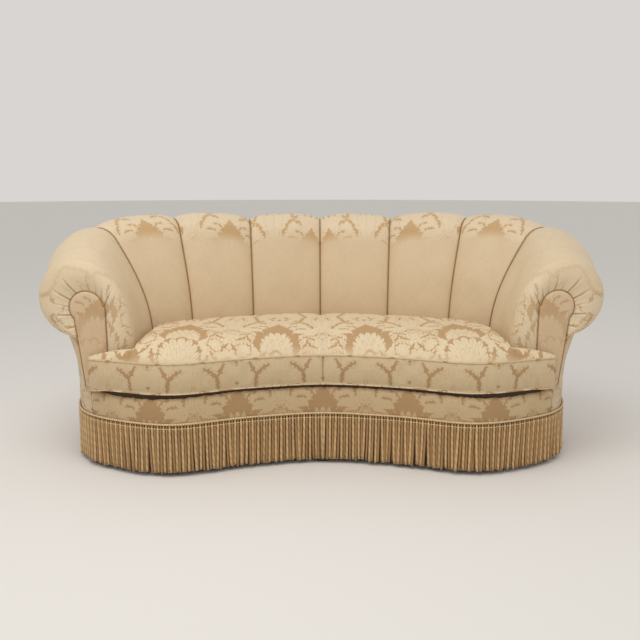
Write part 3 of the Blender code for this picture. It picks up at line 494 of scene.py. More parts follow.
def new_piece(name, points, faces, cloth_uv=None, figure=None, group=None):
    """A closed mesh with its faces turned outwards, its flat cloth as UV and its figure strength.

    Where the cloth is of several cuts, there is a UV for each, and group says which a face is of.
    """
    points = np.asarray(points, float).reshape(-1, 3)
    corners = points[np.array([face[:3] for face in faces])]
    rest = points[np.array([(face[0], face[2], face[-1]) for face in faces])]
    if np.linalg.det(corners).sum() + np.linalg.det(rest).sum() * (len(faces[0]) > 3) < 0:
        faces = [face[::-1] for face in faces]
    mesh = bpy.data.meshes.new(name)
    mesh.from_pydata(points.tolist(), [], [list(map(int, face)) for face in faces])
    if cloth_uv is not None:
        corner = np.empty(len(mesh.loops), np.int32)
        mesh.loops.foreach_get("vertex_index", corner)
        group = np.zeros(len(faces), int) if group is None else np.asarray(group)
        sheet = np.repeat(group, [len(face) for face in faces])
        flat = np.asarray(cloth_uv, float).reshape(-1, len(points), 2)[sheet, corner]
        mesh.uv_layers.new(name="cloth").data.foreach_set("uv", flat.ravel())
    # The figure strength is painted sheen: it fades the damask's pattern where the satin's sheen
    # hides it.
    if figure is not None:
        layer = mesh.attributes.new("figure", "FLOAT", "POINT")
        layer.data.foreach_set("value", np.asarray(figure, float).ravel())
    mesh.validate()
    mesh.shade_smooth()
    return placed(name, mesh)


def pad_faces(rows, columns, joined=()):
    """Faces of a closed pad whose face and back have the same rows and columns of points."""
    number = np.arange(rows * columns).reshape(rows, columns)
    behind = number + rows * columns
    front = np.stack([number[:-1, :-1], number[:-1, 1:], number[1:, 1:], number[1:, :-1]], -1)
    back = np.stack([behind[:-1, :-1], behind[1:, :-1], behind[1:, 1:], behind[:-1, 1:]], -1)
    faces = [front.reshape(-1, 4), back.reshape(-1, 4)]
    rims = {"first row": (number[0], behind[0]), "last column": (number[:, -1], behind[:, -1]),
            "last row": (number[-1, ::-1], behind[-1, ::-1]),
            "first column": (number[::-1, 0], behind[::-1, 0])}
    for side, (near, far) in rims.items():
        if side not in joined:
            faces.append(np.stack([near[1:], near[:-1], far[:-1], far[1:]], -1))
    return np.vstack(faces).tolist()


def new_pad(name, face, back, cloth_uv, figure=None, joined=()):
    """A closed pad from the points of its face and those of its back."""
    faces = pad_faces(*face.shape[:2], joined)
    figure = np.ones(face.shape[:2]) if figure is None else figure
    return new_piece(name, np.stack([face, back]), faces, np.stack([cloth_uv] * 2),
                     np.stack([figure] * 2))


def put_on(piece, material, fill, *nodes):
    """Dresses a padded piece of the frame, which stands for these CAD nodes."""
    piece.data.materials.append(material)
    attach(piece, "frame")
    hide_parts(*nodes)


repeat_along = 0.520, -0.180
repeat_half = 0.1725


def motif_place(tree, source):
    """Coordinates across and along a motif, turned and moved to its place in the repeat."""
    across, along, _ = parts_of(tree, source["Cloth"])
    along = (along - source["Foot"]).math("WRAP", *repeat_along)
    flat = add_node(tree, "ShaderNodeCombineXYZ", {0: across - source["Centre"], 1: along})
    turned = add_node(tree, "ShaderNodeVectorRotate", {"Vector": flat.outputs[0],
                                                       "Angle": source["Turn"]},
                      rotation_type="Z_AXIS")
    return parts_of(tree, turned.outputs[0])[:2]


motif_inputs = [("Cloth", "Vector", None), ("Centre", "Float", 0.0), ("Foot", "Float", 0.0),
                ("Turn", "Float", 0.0), ("Length", "Float", 0.1)]


def palmette_group():
    """A fan of rounded lobes: how far inside its edge a place is, and the ribs between lobes."""
    tree, source = new_group("palmette", motif_inputs + [
        ("Half angle", "Float", 1.0), ("Lobes", "Float", 7.0), ("Depth", "Float", 0.2),
        ("Side length", "Float", 0.5), ("Base length", "Float", 0.3)],
        [("Inside", "Float"), ("Rib", "Float")])
    across, along = motif_place(tree, source)
    far = (across * across + along * along).math("SQRT")
    half = source["Half angle"]
    turn = across.math("ARCTAN2", along).math("ABSOLUTE") / half
    within = turn.math("LESS_THAN", 1.0)
    reach = 1.0 - (1.0 - source["Side length"]) * turn.math("MINIMUM", 1.0) ** 1.8
    tail = ((turn - 1.0) * half * 2.5 / (math.pi - half)).from_0_to_1()
    reach = reach * (1.0 - tail * (1.0 - source["Base length"]))
    lobe = (turn * source["Lobes"] * (math.pi / 2)).math("COSINE").math("ABSOLUTE")
    reach = reach * (1.0 - source["Depth"] * (1.0 - lobe**0.6) * within) * source["Length"]
    small = (turn * source["Lobes"] * (math.pi * 1.5)).math("COSINE").math("ABSOLUTE")
    reach = reach * (0.95 + small**0.6 * 0.05)
    share = far / reach
    rib = lobe.math("LESS_THAN", 0.16).math("MAXIMUM", lobe.math("GREATER_THAN", 0.992))
    rib = rib * share.math("GREATER_THAN", 0.35) * share.math("LESS_THAN", 0.92) * within
    add_node(tree, "NodeGroupOutput", {"Inside": reach - far, "Rib": rib})
    return tree


def leaf_group():
    """A lobed leaf on a bent rib: how far inside its edge a place is, and its rib."""
    tree, source = new_group("leaf", motif_inputs + [
        ("Width", "Float", 0.04), ("Lobes", "Float", 6.0), ("Depth", "Float", 0.25),
        ("Fullness", "Float", 0.8), ("Bend", "Float", 0.0), ("Taper", "Float", 0.75)],
        [("Inside", "Float"), ("Rib", "Float")])
    across, along = motif_place(tree, source)
    length = source["Length"]
    off = (across - source["Bend"] * along * along / length).math("ABSOLUTE")
    share = (along - off * 0.45) / length
    kept = share.from_0_to_1()
    lobe = (kept * source["Lobes"] * math.pi).math("SINE").math("ABSOLUTE")
    wide = (kept ** source["Fullness"] * math.pi).math("SINE").math("MAXIMUM", 0.0)
    wide = wide ** source["Taper"] * source["Width"] * (1.0 - source["Depth"] * (1.0 - lobe**0.6))
    beyond = (share - 0.5).math("ABSOLUTE").math("GREATER_THAN", 0.5)
    rib = (wide * 0.035).math("GREATER_THAN", off)
    add_node(tree, "NodeGroupOutput", {"Inside": wide - off - beyond * 0.01, "Rib": rib})
    return tree


def twig_group():
    """A bent twig with spikes along its sides: how far inside its edge a place is."""
    tree, source = new_group("twig", motif_inputs + [
        ("Width", "Float", 0.005), ("Lobes", "Float", 3.0), ("Spikes", "Float", 1.5),
        ("Bend", "Float", 0.0), ("Blunt", "Float", 0.6)], [("Inside", "Float"), ("Rib", "Float")])
    across, along = motif_place(tree, source)
    length, blunt = source["Length"], source["Blunt"]
    off = (across - source["Bend"] * along * (length - along) / length).math("ABSOLUTE")
    share = along / length
    kept = share.from_0_to_1()
    lobe = (kept * source["Lobes"] * math.pi).math("SINE").math("ABSOLUTE")
    wide = (kept * math.pi).math("SINE").math("MAXIMUM", 0.0) ** 0.75 * (1.0 - blunt) + blunt
    wide = wide * source["Width"] * (1.0 + source["Spikes"] * (1.0 - lobe**0.6))
    wide = wide * (1.0 - (kept * 2.0 - 1.0).math("ABSOLUTE") ** 9.0).math("MAXIMUM", 0.0) ** 0.5
    beyond = (share - 0.5).math("ABSOLUTE").math("GREATER_THAN", 0.5)
    add_node(tree, "NodeGroupOutput", {"Inside": wide - off - beyond * 0.01, "Rib": beyond * 0.0})
    return tree


def damask_group():
    """A damask of arched palmettes, stars and tall medallions, mirrored across each repeat."""
    palmette, leaf, twig = palmette_group(), leaf_group(), twig_group()
    turn, side = math.radians, repeat_half
    # Each motif: how it is woven, its group, and then the group's inputs from Centre on
    motifs = (
        ("ground", leaf, side, -0.303, 0, 0.142, 0.062, 5, 0.24, 0.45, 0, 1.2),
        ("ground", palmette, side, -0.370, 0, 0.148, turn(46), 5, 0.20, 0.92, 0.3),
        ("figure", leaf, 0.060, -0.262, turn(118), 0.052, 0.017, 3, 0.25, 0.8, 0.6),
        ("figure", palmette, 0, -0.285, turn(180), 0.096, turn(76), 9, 0.22, 0.98, 0.35),
        ("line", palmette, 0, -0.275, turn(180), 0.060, turn(80), 7, 0.25, 0.8, 0.4),
        ("line", palmette, 0.052, -0.300, turn(118), 0.044, turn(95), 5, 0.22, 0.8, 0.5),
        ("line", palmette, 0, -0.266, 0, 0.046, turn(170), 11, 0.50, 0.80, 0.8),
        ("shade", palmette, 0, -0.266, 0, 0.036, turn(178), 11, 0.75, 0.80, 0.8),
        ("figure", palmette, 0.052, -0.372, turn(-35), 0.031, turn(150), 7, 0.24, 0.9, 0.7),
        ("ground", twig, 0.004, -0.350, turn(154), 0.050, 0.0042, 2, 1.0, -0.3, 0.4),
        ("figure", palmette, side, -0.385, 0, 0.132, turn(44), 7, 0.24, 0.66, 0.4),
        ("line", palmette, side, -0.385, 0, 0.085, turn(40), 5, 0.20, 0.7, 0.4),
        ("ground", palmette, side, -0.500, 0, 0.152, turn(52), 5, 0.10, 0.66, 0.4),
        ("figure", palmette, side, -0.505, 0, 0.150, turn(50), 7, 0.22, 0.62, 0.35),
        ("line", palmette, side, -0.500, 0, 0.085, turn(44), 5, 0.20, 0.7, 0.4),
        ("ground", leaf, 0, -0.500, 0, 0.090, 0.036, 4, 0.2, 0.6, 0),
        ("figure", palmette, 0, -0.518, 0, 0.060, turn(80), 5, 0.25, 0.7, 0.3),
        ("ground", twig, 0.072, -0.425, turn(160), 0.080, 0.007, 3, 1.0, 0.2, 0.5),
        ("ground", twig, 0.040, -0.216, turn(20), 0.047, 0.0058, 2, 0.8, -0.4, 0.3),
        ("ground", twig, 0.050, -0.183, turn(34), 0.076, 0.0044, 3, 1.6, -0.25, 0.5),
        ("ground", twig, 0.090, -0.130, turn(-11), 0.130, 0.0048, 5, 1.6, 0.12, 0.7),
        ("ground", twig, 0.066, -0.014, turn(18.5), 0.101, 0.0046, 4, 1.5, 0.15, 0.7),
        ("ground", twig, 0.086, -0.132, turn(122), 0.050, 0.0052, 2, 1.5, -0.3, 0.5),
        ("ground", twig, 0.092, -0.128, turn(27), 0.045, 0.0044, 2, 1.5, 0.2, 0.4),
        ("ground", twig, 0.099, 0.058, turn(-5), 0.062, 0.0062, 2, 0.5, 0, 0.8),
        ("ground", twig, 0.098, 0.104, turn(-52.5), 0.076, 0.0052, 3, 1.4, 0.35, 0.45),
        ("ground", twig, 0.092, 0.106, turn(32), 0.064, 0.0052, 2, 1.4, -0.2, 0.45),
        ("ground", twig, 0.018, -0.330, turn(52), 0.056, 0.0034, 3, 1.3, 0.5, 0.4),
        ("ground", twig, 0.078, -0.330, turn(-24), 0.050, 0.0034, 3, 1.3, -0.5, 0.4),
        ("ground", twig, 0.120, -0.300, turn(14), 0.052, 0.0034, 3, 1.3, 0.3, 0.4),
        ("ground", twig, 0.030, -0.296, turn(74), 0.050, 0.0030, 2, 1.3, -0.4, 0.4),
        ("ground", twig, 0.140, -0.212, turn(-62), 0.056, 0.0032, 3, 1.3, 0.5, 0.4),
        ("ground", twig, 0.110, -0.224, turn(-80), 0.050, 0.0030, 2, 1.3, 0.4, 0.4),
        ("ground", twig, 0.030, -0.440, turn(40), 0.060, 0.0034, 3, 1.3, 0.5, 0.4),
        ("ground", twig, 0.150, -0.100, turn(-25), 0.062, 0.0032, 3, 1.3, 0.4, 0.4),
        ("ground", twig, 0.030, -0.090, turn(-15), 0.070, 0.0030, 3, 1.4, 0.3, 0.4),
        ("ground", leaf, 0.1455, -0.055, turn(12), 0.034, 0.0065, 1, 0.1, 0.8, 0),
        ("ground", leaf, side, -0.100, 0, 0.032, 0.007, 1, 0.1, 0.8, 0),
        ("ground", leaf, side, 0.168, turn(180), 0.020, 0.007, 2, 0.2, 0.6, 0),
        ("ground", leaf, side, 0.078, 0, 0.016, 0.006, 1, 0.3, 0.8, 0),
        ("line", leaf, 0, -0.235, 0, 0.300, 0.045, 9, 0.16, 0.75, 0),
        ("line", leaf, 0, -0.100, 0, 0.190, 0.020, 6, 0.2, 0.8, 0),
        ("line", palmette, side, -0.190, 0, 0.110, turn(60), 7, 0.22, 0.6, 0.3),
        ("vein", palmette, 0, 0.010, 0, 0.150, turn(38), 9, 0.22, 0.95, 0.3),
        ("vein", leaf, side, 0.0, 0, 0.120, 0.030, 8, 0.25, 0.9, 0),
        ("vein", leaf, 0.128, 0.020, 0, 0.130, 0.020, 9, 0.25, 0.9, 0),
    )
    gap, thin = 0.0040, 0.0020
    tree, source = new_group("damask", [("Cloth", "Vector", None), ("Edge", "Float", 0.0009)],
                             [("Figure", "Float"), ("Rib", "Float")])
    across, along, _ = parts_of(tree, source["Cloth"])
    cloth = add_node(tree, "ShaderNodeCombineXYZ", {0: across.math("PINGPONG", side),
                                                    1: along}).outputs[0]
    figure, ribs = 0.05, 0.0
    for kind, motif, *sizes in motifs:
        item = add_node(tree, "ShaderNodeGroup", dict(enumerate((cloth, *sizes))), node_tree=motif)
        inside, rib = (Reckon(tree, socket) for socket in item.outputs)
        if kind == "ground":
            figure = (inside * -1.0).math("MINIMUM", figure)
            ribs = inside.math("LESS_THAN", 0.0) * ribs
        elif kind == "figure":
            figure = figure.math("MINIMUM", (inside + gap) * -1.0).math("MAXIMUM", inside)
            ribs = inside.math("LESS_THAN", -gap) * ribs + inside.math("GREATER_THAN", 0.0) * rib
        elif kind == "shade":
            ribs = inside.math("GREATER_THAN", 0.0).math("MAXIMUM", ribs)
        else:
            ribs = (inside.math("GREATER_THAN", 0.0) * rib).math("MAXIMUM", ribs)
        if kind == "line":
            ribs = inside.math("ABSOLUTE").math("LESS_THAN", thin).math("MAXIMUM", ribs)
    lobes, veins = (add_node(tree, "ShaderNodeTexVoronoi", {"Vector": cloth, "Scale": 78.0,
                                                            "Randomness": 0.8},
                             voronoi_dimensions="2D", feature=feature).outputs["Distance"]
                    for feature in ("F1", "DISTANCE_TO_EDGE"))
    figure = figure + (0.40 - Reckon(tree, lobes)) * 0.0085
    notch = Reckon(tree, veins).math("LESS_THAN", 0.07) * figure.math("LESS_THAN", 0.0060)
    floats = noise_at(tree, cloth, 90.0, 1.0, noise_dimensions="2D").math("GREATER_THAN", 0.46)
    ribs = (ribs * floats).math("MAXIMUM", notch)
    figure = (figure / source["Edge"] * 0.5 + 0.5).from_0_to_1()
    add_node(tree, "NodeGroupOutput", {"Figure": figure, "Rib": ribs})
    return tree


damask_nodes = damask_group()
# Painted sheen: where a piece's figure attribute is 0, the damask is one flat share between its
# ground and figure colours.
sheen_flat_figure, rib_depth = 0.72, 0.50
arch_tip, palmette_tip = (np.array((repeat_half, level)) for level in (-0.163, -0.253))


def damask_cloth(name, ground, figure, strength=1.0):
    """Damask: a satin figure on a duller ground, of one yarn, with a fine weave."""
    material, tree, shader = new_material(name, Sheen_Weight=0.12, Sheen_Roughness=0.4,
                                          Specular_IOR_Level=0.35)
    shader.inputs["Sheen Tint"].default_value = seen_colour(255, 244, 224)
    flat = add_node(tree, "ShaderNodeUVMap", uv_map="cloth").outputs[0]
    pattern, weave = (add_node(tree, "ShaderNodeGroup", {"Cloth": flat}, node_tree=nodes)
                      for nodes in (damask_nodes, weave_nodes))
    # Painted sheen: the figure attribute and the strength fade the pattern where the satin's sheen
    # hides it.
    kept = add_node(tree, "ShaderNodeAttribute", attribute_name="figure").outputs["Fac"]
    whole, rib = (Reckon(tree, pattern.outputs[name]) for name in ("Figure", "Rib"))
    shown = (whole * (1.0 - rib * rib_depth) - sheen_flat_figure) * kept * strength + sheen_flat_figure
    cloud = noise_at(tree, flat, 7.0, 3.0)
    shade = (cloud - 0.5) * 0.10 + (Reckon(tree, weave.outputs["Tone"]) - 0.5) * 0.30 + 1.0
    coloured(tree, shader, shown, ground, figure, shade)
    roughened(tree, shader, shown, 0.62, 0.42)
    raised(tree, shader, weave.outputs["Height"], 0.3, 0.0003)
    return material


# Painted light: each piece's damask is one cloth given its own lighter or darker colours for how
# light and the satin's sheen fall on that piece.
back_damask = damask_cloth("back damask", (193, 158, 111), (217, 196, 163))
# How far across and along the cloth each channel's own piece was cut
arch_places = ((0.0, -0.070), (0.065, -0.070), (0.117, -0.103), (-0.117, -0.103), (-0.065, -0.070),
               (0.0, -0.073))
panel_scale = 1.02
face_rows, roll_rows, channel_columns = 40, 46, 33
crest_row, middle_column = straight_rows + face_rows + 14, 16
channel_fullness, channel_lumps, channel_lump_size = 2.3, 0.0016, 0.11
# Painted sheen: on the channels the figure is full only over the roll and fades to nearly plain
# below it, where the satin's sheen hides it.
sheen_hidden_figure, figure_edge, figure_fade = 0.06, -0.180, 0.055
seams = (-3, -2, -1, 0, 1, 2, 3)
for number, (first, last) in enumerate(zip(seams, seams[1:]), 1):
    share = (1 - np.cos(np.linspace(0, math.pi, channel_columns))) / 2
    station = between(first + seam_gap, last - seam_gap, share)
    reach, height, out_x, out_z = crown_of(station, face_rows, roll_rows)
    inset = seam_depth * (1 - np.sqrt(1 - np.abs(2 * share - 1) ** channel_fullness))[:, None]
    face = stand_at(station[:, None], reach - out_x * inset, height - out_z * inset)
    swell = channel_lumps * lumps(face, channel_lump_size, number)
    swell = swell * (4 * share * (1 - share))[:, None]
    inset = inset - swell
    face = stand_at(station[:, None], reach - out_x * inset, height - out_z * inset)
    back = stand_at(station[:, None], *bar_of(station, face_rows, roll_rows))
    face, back = face.transpose(1, 0, 2), back.transpose(1, 0, 2)
    flat = cloth_map(face, crest_row, middle_column)
    figure = between(sheen_hidden_figure, 1, ease((flat[..., 1] - figure_edge) / figure_fade))
    flat = (flat - arch_places[number - 1]) * (panel_scale, 1) + arch_tip
    put_on(new_pad(f"channel_{number}", face, back, flat, figure), back_damask, 0.9,
           f"back_channel_{number}")

seam_rise, arm_seam_rise = 0.0062, 0.0125
seam_ends = slice(3, -8)
seam_paths = []
for station in map(float, seams):
    reach, height, out_x, out_z = crown_of(np.array([station]), 60, 60)
    deep = seam_depth - (seam_rise if abs(station) < 3 else arm_seam_rise)
    line = stand_at(station, (reach - out_x * deep)[0], (height - out_z * deep)[0])
    seam_paths.append(line[seam_ends])

# Arms
# Each arm is one padded piece from the outermost seam to the arm's front, where the cloth is
# pleated round the end of the roll and drawn in under the edge of the facing.
arm_nose = 0.032
facing_radius = 0.060
facing_hem = 0.004
stem_inner = 0.092
stem_outer = 0.176
deck_top = 0.300
neck_angle = math.radians(-42)
arm_front_y = foot_of_back - seat_depth - arm_nose
front_station = np.array([4.0])
lean, centre, _, arm_join, arm_end = (float(value[0]) for value in roll_at(front_station))
key_reach, key_height = lean - facing_inset, centre - facing_drop


def keyhole(roll_end, face_rows, roll_rows):
    """Edge of the front facing, row for row with the crown, and its turn from outwards."""
    reach, centre, join, end = key_reach, key_height, arm_join, arm_end
    radius, inner = facing_radius + facing_hem, stem_inner - facing_hem
    low = np.linspace(pad_bottom, straight_height, straight_rows, endpoint=False)
    climb = np.linspace(0, 1, face_rows, endpoint=False)
    arc = radius * (math.pi - join)
    climb = straight_height + climb * (centre - straight_height + arc)
    turn = np.concatenate([math.pi + (centre - low) / radius, math.pi + (centre - climb) / radius,
                           np.linspace(join, end, roll_rows)])
    angle = np.clip(turn, neck_angle, math.pi)
    x, z = reach + radius * np.cos(angle), centre + radius * np.sin(angle)
    z = np.where(turn > math.pi, centre - (turn - math.pi) * radius, z)
    x = np.where(turn > math.pi, inner, x)
    neck_x, neck_z = x[-1], z[-1]
    drop = np.clip((neck_angle - turn) / (neck_angle - end), 0, 1)
    z = np.where(drop > 0, between(neck_z, roll_end, drop), z)
    spread = (neck_z - z) / (neck_z - deck_top)
    return np.where(drop > 0, between(neck_x, stem_outer + facing_hem, spread), x), z, turn


# Painted light: the arms' copy of the damask, with its own colours and a weaker figure for how
# light and sheen fall on the arms.
arm_damask = damask_cloth("arm damask", (192, 157, 112), (222, 203, 170), 0.78)
arm_face_rows, arm_roll_rows, nose_rows = 110, 210, 28
arm_swell, rear_hollow, nose_bulge, arm_lumps, arm_lump_size = 0.012, 0.006, 0.010, 0.002, 0.13
seam_width_share, swell_share, hollow_width, hollow_start = 0.32, 0.86, 0.3, 2.33
pleat_radius, pleat_fade = 0.095, 0.35
crease_width, ridge_width, ridge_height = 0.0040, 0.0130, 0.25
nose_faded, nose_turn, nose_half_turn, nose_fade = 0.72, 1.4, 0.85, 0.5
arm_cloth_moved, facing_cloth_moved = (0.03, -0.06), (0.058, 0.020)
# Each pleat: its turn in degrees, the share of the nose that it runs back, and its depth
pleats = ((203, 0.45, 0.004), (176, 0.75, 0.010), (147, 0.50, 0.006), (124, 0.35, 0.004),
          (102, 0.55, 0.007), (80, 0.35, 0.004), (57, 0.62, 0.009), (27, 0.60, 0.009),
          (2, 0.40, 0.005), (-25, 0.55, 0.008), (-60, 0.50, 0.006))
for side, sign in both_sides:
    share = np.concatenate([(1 - np.cos(np.linspace(0, math.pi / 2, 20))) * 0.5,
                            np.linspace(0.5, 1, 16)[1:]])
    station = between(3 + seam_gap, 4, share)
    reach, height, out_x, out_z = crown_of(station, arm_face_rows, arm_roll_rows)
    near_seam = 1 - np.minimum(share / seam_width_share, 1)
    inset = seam_depth * (1 - np.sqrt(1 - near_seam**2))[:, None]
    fuller = (arm_swell * np.sin(math.pi * np.minimum(share / swell_share, 1))
              - rear_hollow * ease(share / hollow_width - hollow_start))
    inset = inset - fuller[:, None] * np.maximum(out_x + 0.4, 0) / 1.4
    face = stand_at(sign * station[:, None], reach, height)
    swell = arm_lumps * lumps(face, arm_lump_size, 20 + sign) * np.minimum(share / 0.2, 1)[:, None]
    face = stand_at(sign * station[:, None], reach - out_x * (inset - swell),
                    height - out_z * (inset - swell))
    turn = np.linspace(0, math.pi / 2, nose_rows + 1)[1:, None]
    draw, ahead = 1 - np.cos(turn), arm_nose * np.sin(turn) ** 0.8
    key_x, key_z, key_turn = keyhole(height[-1, -1] + facing_hem, arm_face_rows, arm_roll_rows)
    rim = between(reach[-1] - out_x[-1] * inset[-1], key_x, draw), between(
        height[-1] - out_z[-1] * inset[-1], key_z, draw)
    folds, lot = 0 * draw * key_turn, np.zeros(len(key_turn), int)
    for at, long, deep in pleats:
        off = (key_turn - math.radians(at)) * pleat_radius
        ridge = ridge_height * np.exp(-(off / ridge_width) ** 2)
        crease = np.exp(-(off / crease_width) ** 2) - ridge
        folds = folds + deep * crease * ease((draw - 1 + long) / pleat_fade)
        lot += off < 0
    nose = stand_at(4.0 * sign, *rim, ahead + nose_bulge * np.sin(math.pi * draw) - folds)
    face = np.concatenate([face, nose]).transpose(1, 0, 2)
    bar = stand_at(sign * station[:, None], *bar_of(station, arm_face_rows, arm_roll_rows))
    inner = bar_of(front_station, arm_face_rows, arm_roll_rows)
    inner = stand_at(4.0 * sign, *inner, np.linspace(0, arm_nose - 0.002, nose_rows + 1)[1:, None])
    back = np.concatenate([bar, inner]).transpose(1, 0, 2)
    edge = len(share) - 1
    flat = cloth_map(face, straight_rows + arm_face_rows + 40, edge)
    middle = np.array([flat[lot == each, edge, 1].mean() for each in range(len(pleats) + 1)])[lot]
    tight = between(1, (facing_radius + facing_hem) / arm_roll_radius, draw[:, 0])[None, :]
    flat[:, edge + 1:, 1] = middle[:, None] + (flat[:, edge, 1] - middle)[:, None] * tight
    column = np.arange(face.shape[1])
    # Painted sheen: the figure fades near the seam and over the top of the nose.
    figure = np.interp(column, (0, edge + 2, edge + 12), (0.08, 0.15, 0.95))[None, :]
    beside = ease((np.abs(key_turn - nose_turn) - nose_half_turn) / nose_fade)
    upper = 1 - nose_faded * (1 - beside)[:, None]
    figure = figure * np.where(column > edge, upper, 1)
    put_on(new_pad(f"arm_{side}", face, back, flat + arm_cloth_moved, figure), arm_damask, 0.85,
           f"inside_arm_{side}")

# Arm facings
# Each facing is a keyhole panel of card and wadding under cloth, set into the pleated end of the
# roll. A welt runs round it, and its foot goes down behind the cushion.
# Painted light: the facings' copy of the damask, darker and with a weaker figure for how light and
# sheen fall on them.
facing_damask = damask_cloth("facing damask", (188, 153, 110), (212, 186, 151), 0.8)
stem_rows, arc_rows, dome_columns = 26, 44, 9
dome_height, dome_edge, facing_thickness, facing_sunk = 0.0085, 0.026, 0.008, 0.0005
facing_scale, facing_slant = 1.16, 0.25
climb = np.linspace(0, 1, stem_rows)
angle = np.linspace(math.pi, neck_angle, arc_rows)[1:]
stem_foot, foot_x = deck_top + fit, (stem_inner + stem_outer) / 2
rim_x = np.concatenate([np.full(stem_rows, stem_inner), key_reach + facing_radius * np.cos(angle)])
rim_z = np.concatenate([between(stem_foot, key_height, climb),
                        key_height + facing_radius * np.sin(angle)])
rim_x = np.concatenate([rim_x, between(rim_x[-1], stem_outer, climb[1:])])
rim_z = np.concatenate([rim_z, between(rim_z[-1], stem_foot, climb[1:])])
spine_x, spine_z = (
    np.concatenate([between(foot, head, climb), np.full(arc_rows - 1, head),
                    between(head, foot, climb[1:])])
    for foot, head in ((foot_x, key_reach), (stem_foot, key_height)))
share = np.linspace(0, 1, dome_columns)[None, :] ** 1.4
x = between(rim_x[:, None], spine_x[:, None], share)
z = between(rim_z[:, None], spine_z[:, None], share)
across = np.hypot(rim_x - spine_x, rim_z - spine_z)[:, None] * share
dome = dome_height * np.sqrt(1 - (1 - np.minimum(across / dome_edge, 1)) ** 2)
flat = np.stack([x - key_reach, z - key_height], -1)
# Painted sheen: the figure fades to half low on the facing.
figure = 0.5 + 0.5 * ease((flat[..., 1] + 0.060) / 0.050)
flat = flat @ ((facing_scale, -facing_slant), (facing_slant, facing_scale))
flat = flat + facing_cloth_moved + palmette_tip


def turned_out(piece, merged=False, flat_ends=False):
    """Turns a closed piece's faces outwards, once its doubles or its flat ends are seen to."""
    bm = bmesh.new()
    bm.from_mesh(piece.data)
    if merged:
        bmesh.ops.remove_doubles(bm, verts=bm.verts, dist=1e-6)
    if flat_ends:
        bmesh.ops.triangulate(bm, faces=[face for face in bm.faces if len(face.verts) > 4])
    bmesh.ops.recalc_face_normals(bm, faces=bm.faces)
    bm.to_mesh(piece.data)
    bm.free()
    return piece


for side, sign in both_sides:
    face = stand_at(4.0 * sign, x, z, arm_nose - facing_sunk + dome)
    back = stand_at(4.0 * sign, x, z, arm_nose - facing_thickness)
    piece = new_pad(f"facing_{side}", face, back, flat, figure, joined=("last column",))
    put_on(turned_out(piece, merged=True), facing_damask, 0.9, f"arm_facing_{side}")


def new_welt(name, path, radius, material, body="frame", closed=False, sides=10):
    """A thin cord covered in bias-cut cloth along a path, with its length and turn as UV."""
    path = np.asarray(path, float)
    if closed:
        ahead = np.roll(path, -1, 0) - np.roll(path, 1, 0)
    else:
        ahead = np.gradient(path, axis=0)
    ahead /= np.linalg.norm(ahead, axis=1)[:, None]
    level = abs(ahead[:, 2]).max() < 0.9
    side = [np.cross(ahead[0], (0, 0, 1) if level else (0.31, 0.92, 0.24))]
    for step in ahead[1:]:
        way = np.cross(step, (0, 0, 1)) if level else side[-1] - step * (side[-1] @ step)
        side.append(way / np.linalg.norm(way))
    side = np.array(side) / np.linalg.norm(side, axis=1)[:, None]
    over = np.cross(side, ahead)
    angle = np.linspace(0, math.tau, sides, endpoint=False)[None, :, None]
    rings = path[:, None] + radius * (np.cos(angle) * side[:, None] + np.sin(angle) * over[:, None])
    number = np.arange(len(path) * sides).reshape(len(path), sides)
    after = np.roll(number, -1, 1)
    low, high = (number, after), (np.roll(number, -1, 0), np.roll(after, -1, 0))
    faces = np.stack([low[0], low[1], high[1], high[0]], -1)
    faces = (faces if closed else faces[:-1]).reshape(-1, 4).tolist()
    if not closed:
        faces += [number[0, ::-1].tolist(), number[-1].tolist()]
    length = np.concatenate([[0], np.cumsum(np.linalg.norm(np.diff(path, axis=0), axis=1))])
    angle, length = angle[..., 0], length[:, None]
    piece = new_piece(name, rings, faces, stacked(length, radius * angle),
                      np.ones((len(path), sides)))
    lay = piece.data.attributes.new("lay", "FLOAT_VECTOR", "POINT").data
    lay.foreach_set("vector", stacked(np.cos(angle), np.sin(angle), length).ravel())
    turned_out(piece).data.materials.append(material)
    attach(piece, body)


facing_welt_radius, facing_welt_ahead, channel_seam_radius = 0.0022, 0.0012, 0.0018
# Painted shade: the facing welts take a dark brown copy of the damask, for the shade along the
# welt.
shaded_welt_cloth = damask_cloth("welt cloth", (132, 96, 52), (164, 126, 78), 0.6)
for side, sign in both_sides:
    path = stand_at(4.0 * sign, rim_x, rim_z, arm_nose + facing_welt_ahead)
    new_welt(f"facing_welt_{side}", path, facing_welt_radius, shaded_welt_cloth)
# Painted shade: the seam cords are a dark brown copy of the damask, a dark line for the shade down
# in each seam.
shaded_seam_cloth = damask_cloth("seam cloth", (132, 95, 50), (162, 122, 72), 0.6)
for number, path in enumerate(seam_paths, 1):
    new_welt(f"channel_seam_{number}", path, channel_seam_radius, shaded_seam_cloth, sides=6)

# Outside back and outside arms
# The outside is covered by three padded sheets of the same cloth, from under the end of the roll
# down to the base. They meet at the back corners, and their top edges are sewn on by hand.
# Half the base's outline, from its front centre, as shares of its half width and its depth
base_shares = ((0, 0.141), (0.283, 0.089), (0.555, 0), (0.796, 0.072), (0.940, 0.196), (1, 0.400),
               (0.984, 0.607), (0.859, 0.804), (0.576, 0.935), (0.293, 0.984), (0, 1))
base_half_width = seat_half_width + 0.272
base_front = -seat_depth - 0.157
base_depth = 0.187 - base_front
cover_inset = 0.0093
cover_thickness = 0.010
cover_bottom = 0.186
border_top = 0.300
outline_steps = 38
panel_gap, corner_gap = 0.008, 0.005
tuck_share, tuck_depth, tuck_rise, side_bow, front_bow = 0.2, 0.010, 0.010, 0.054, 0.040


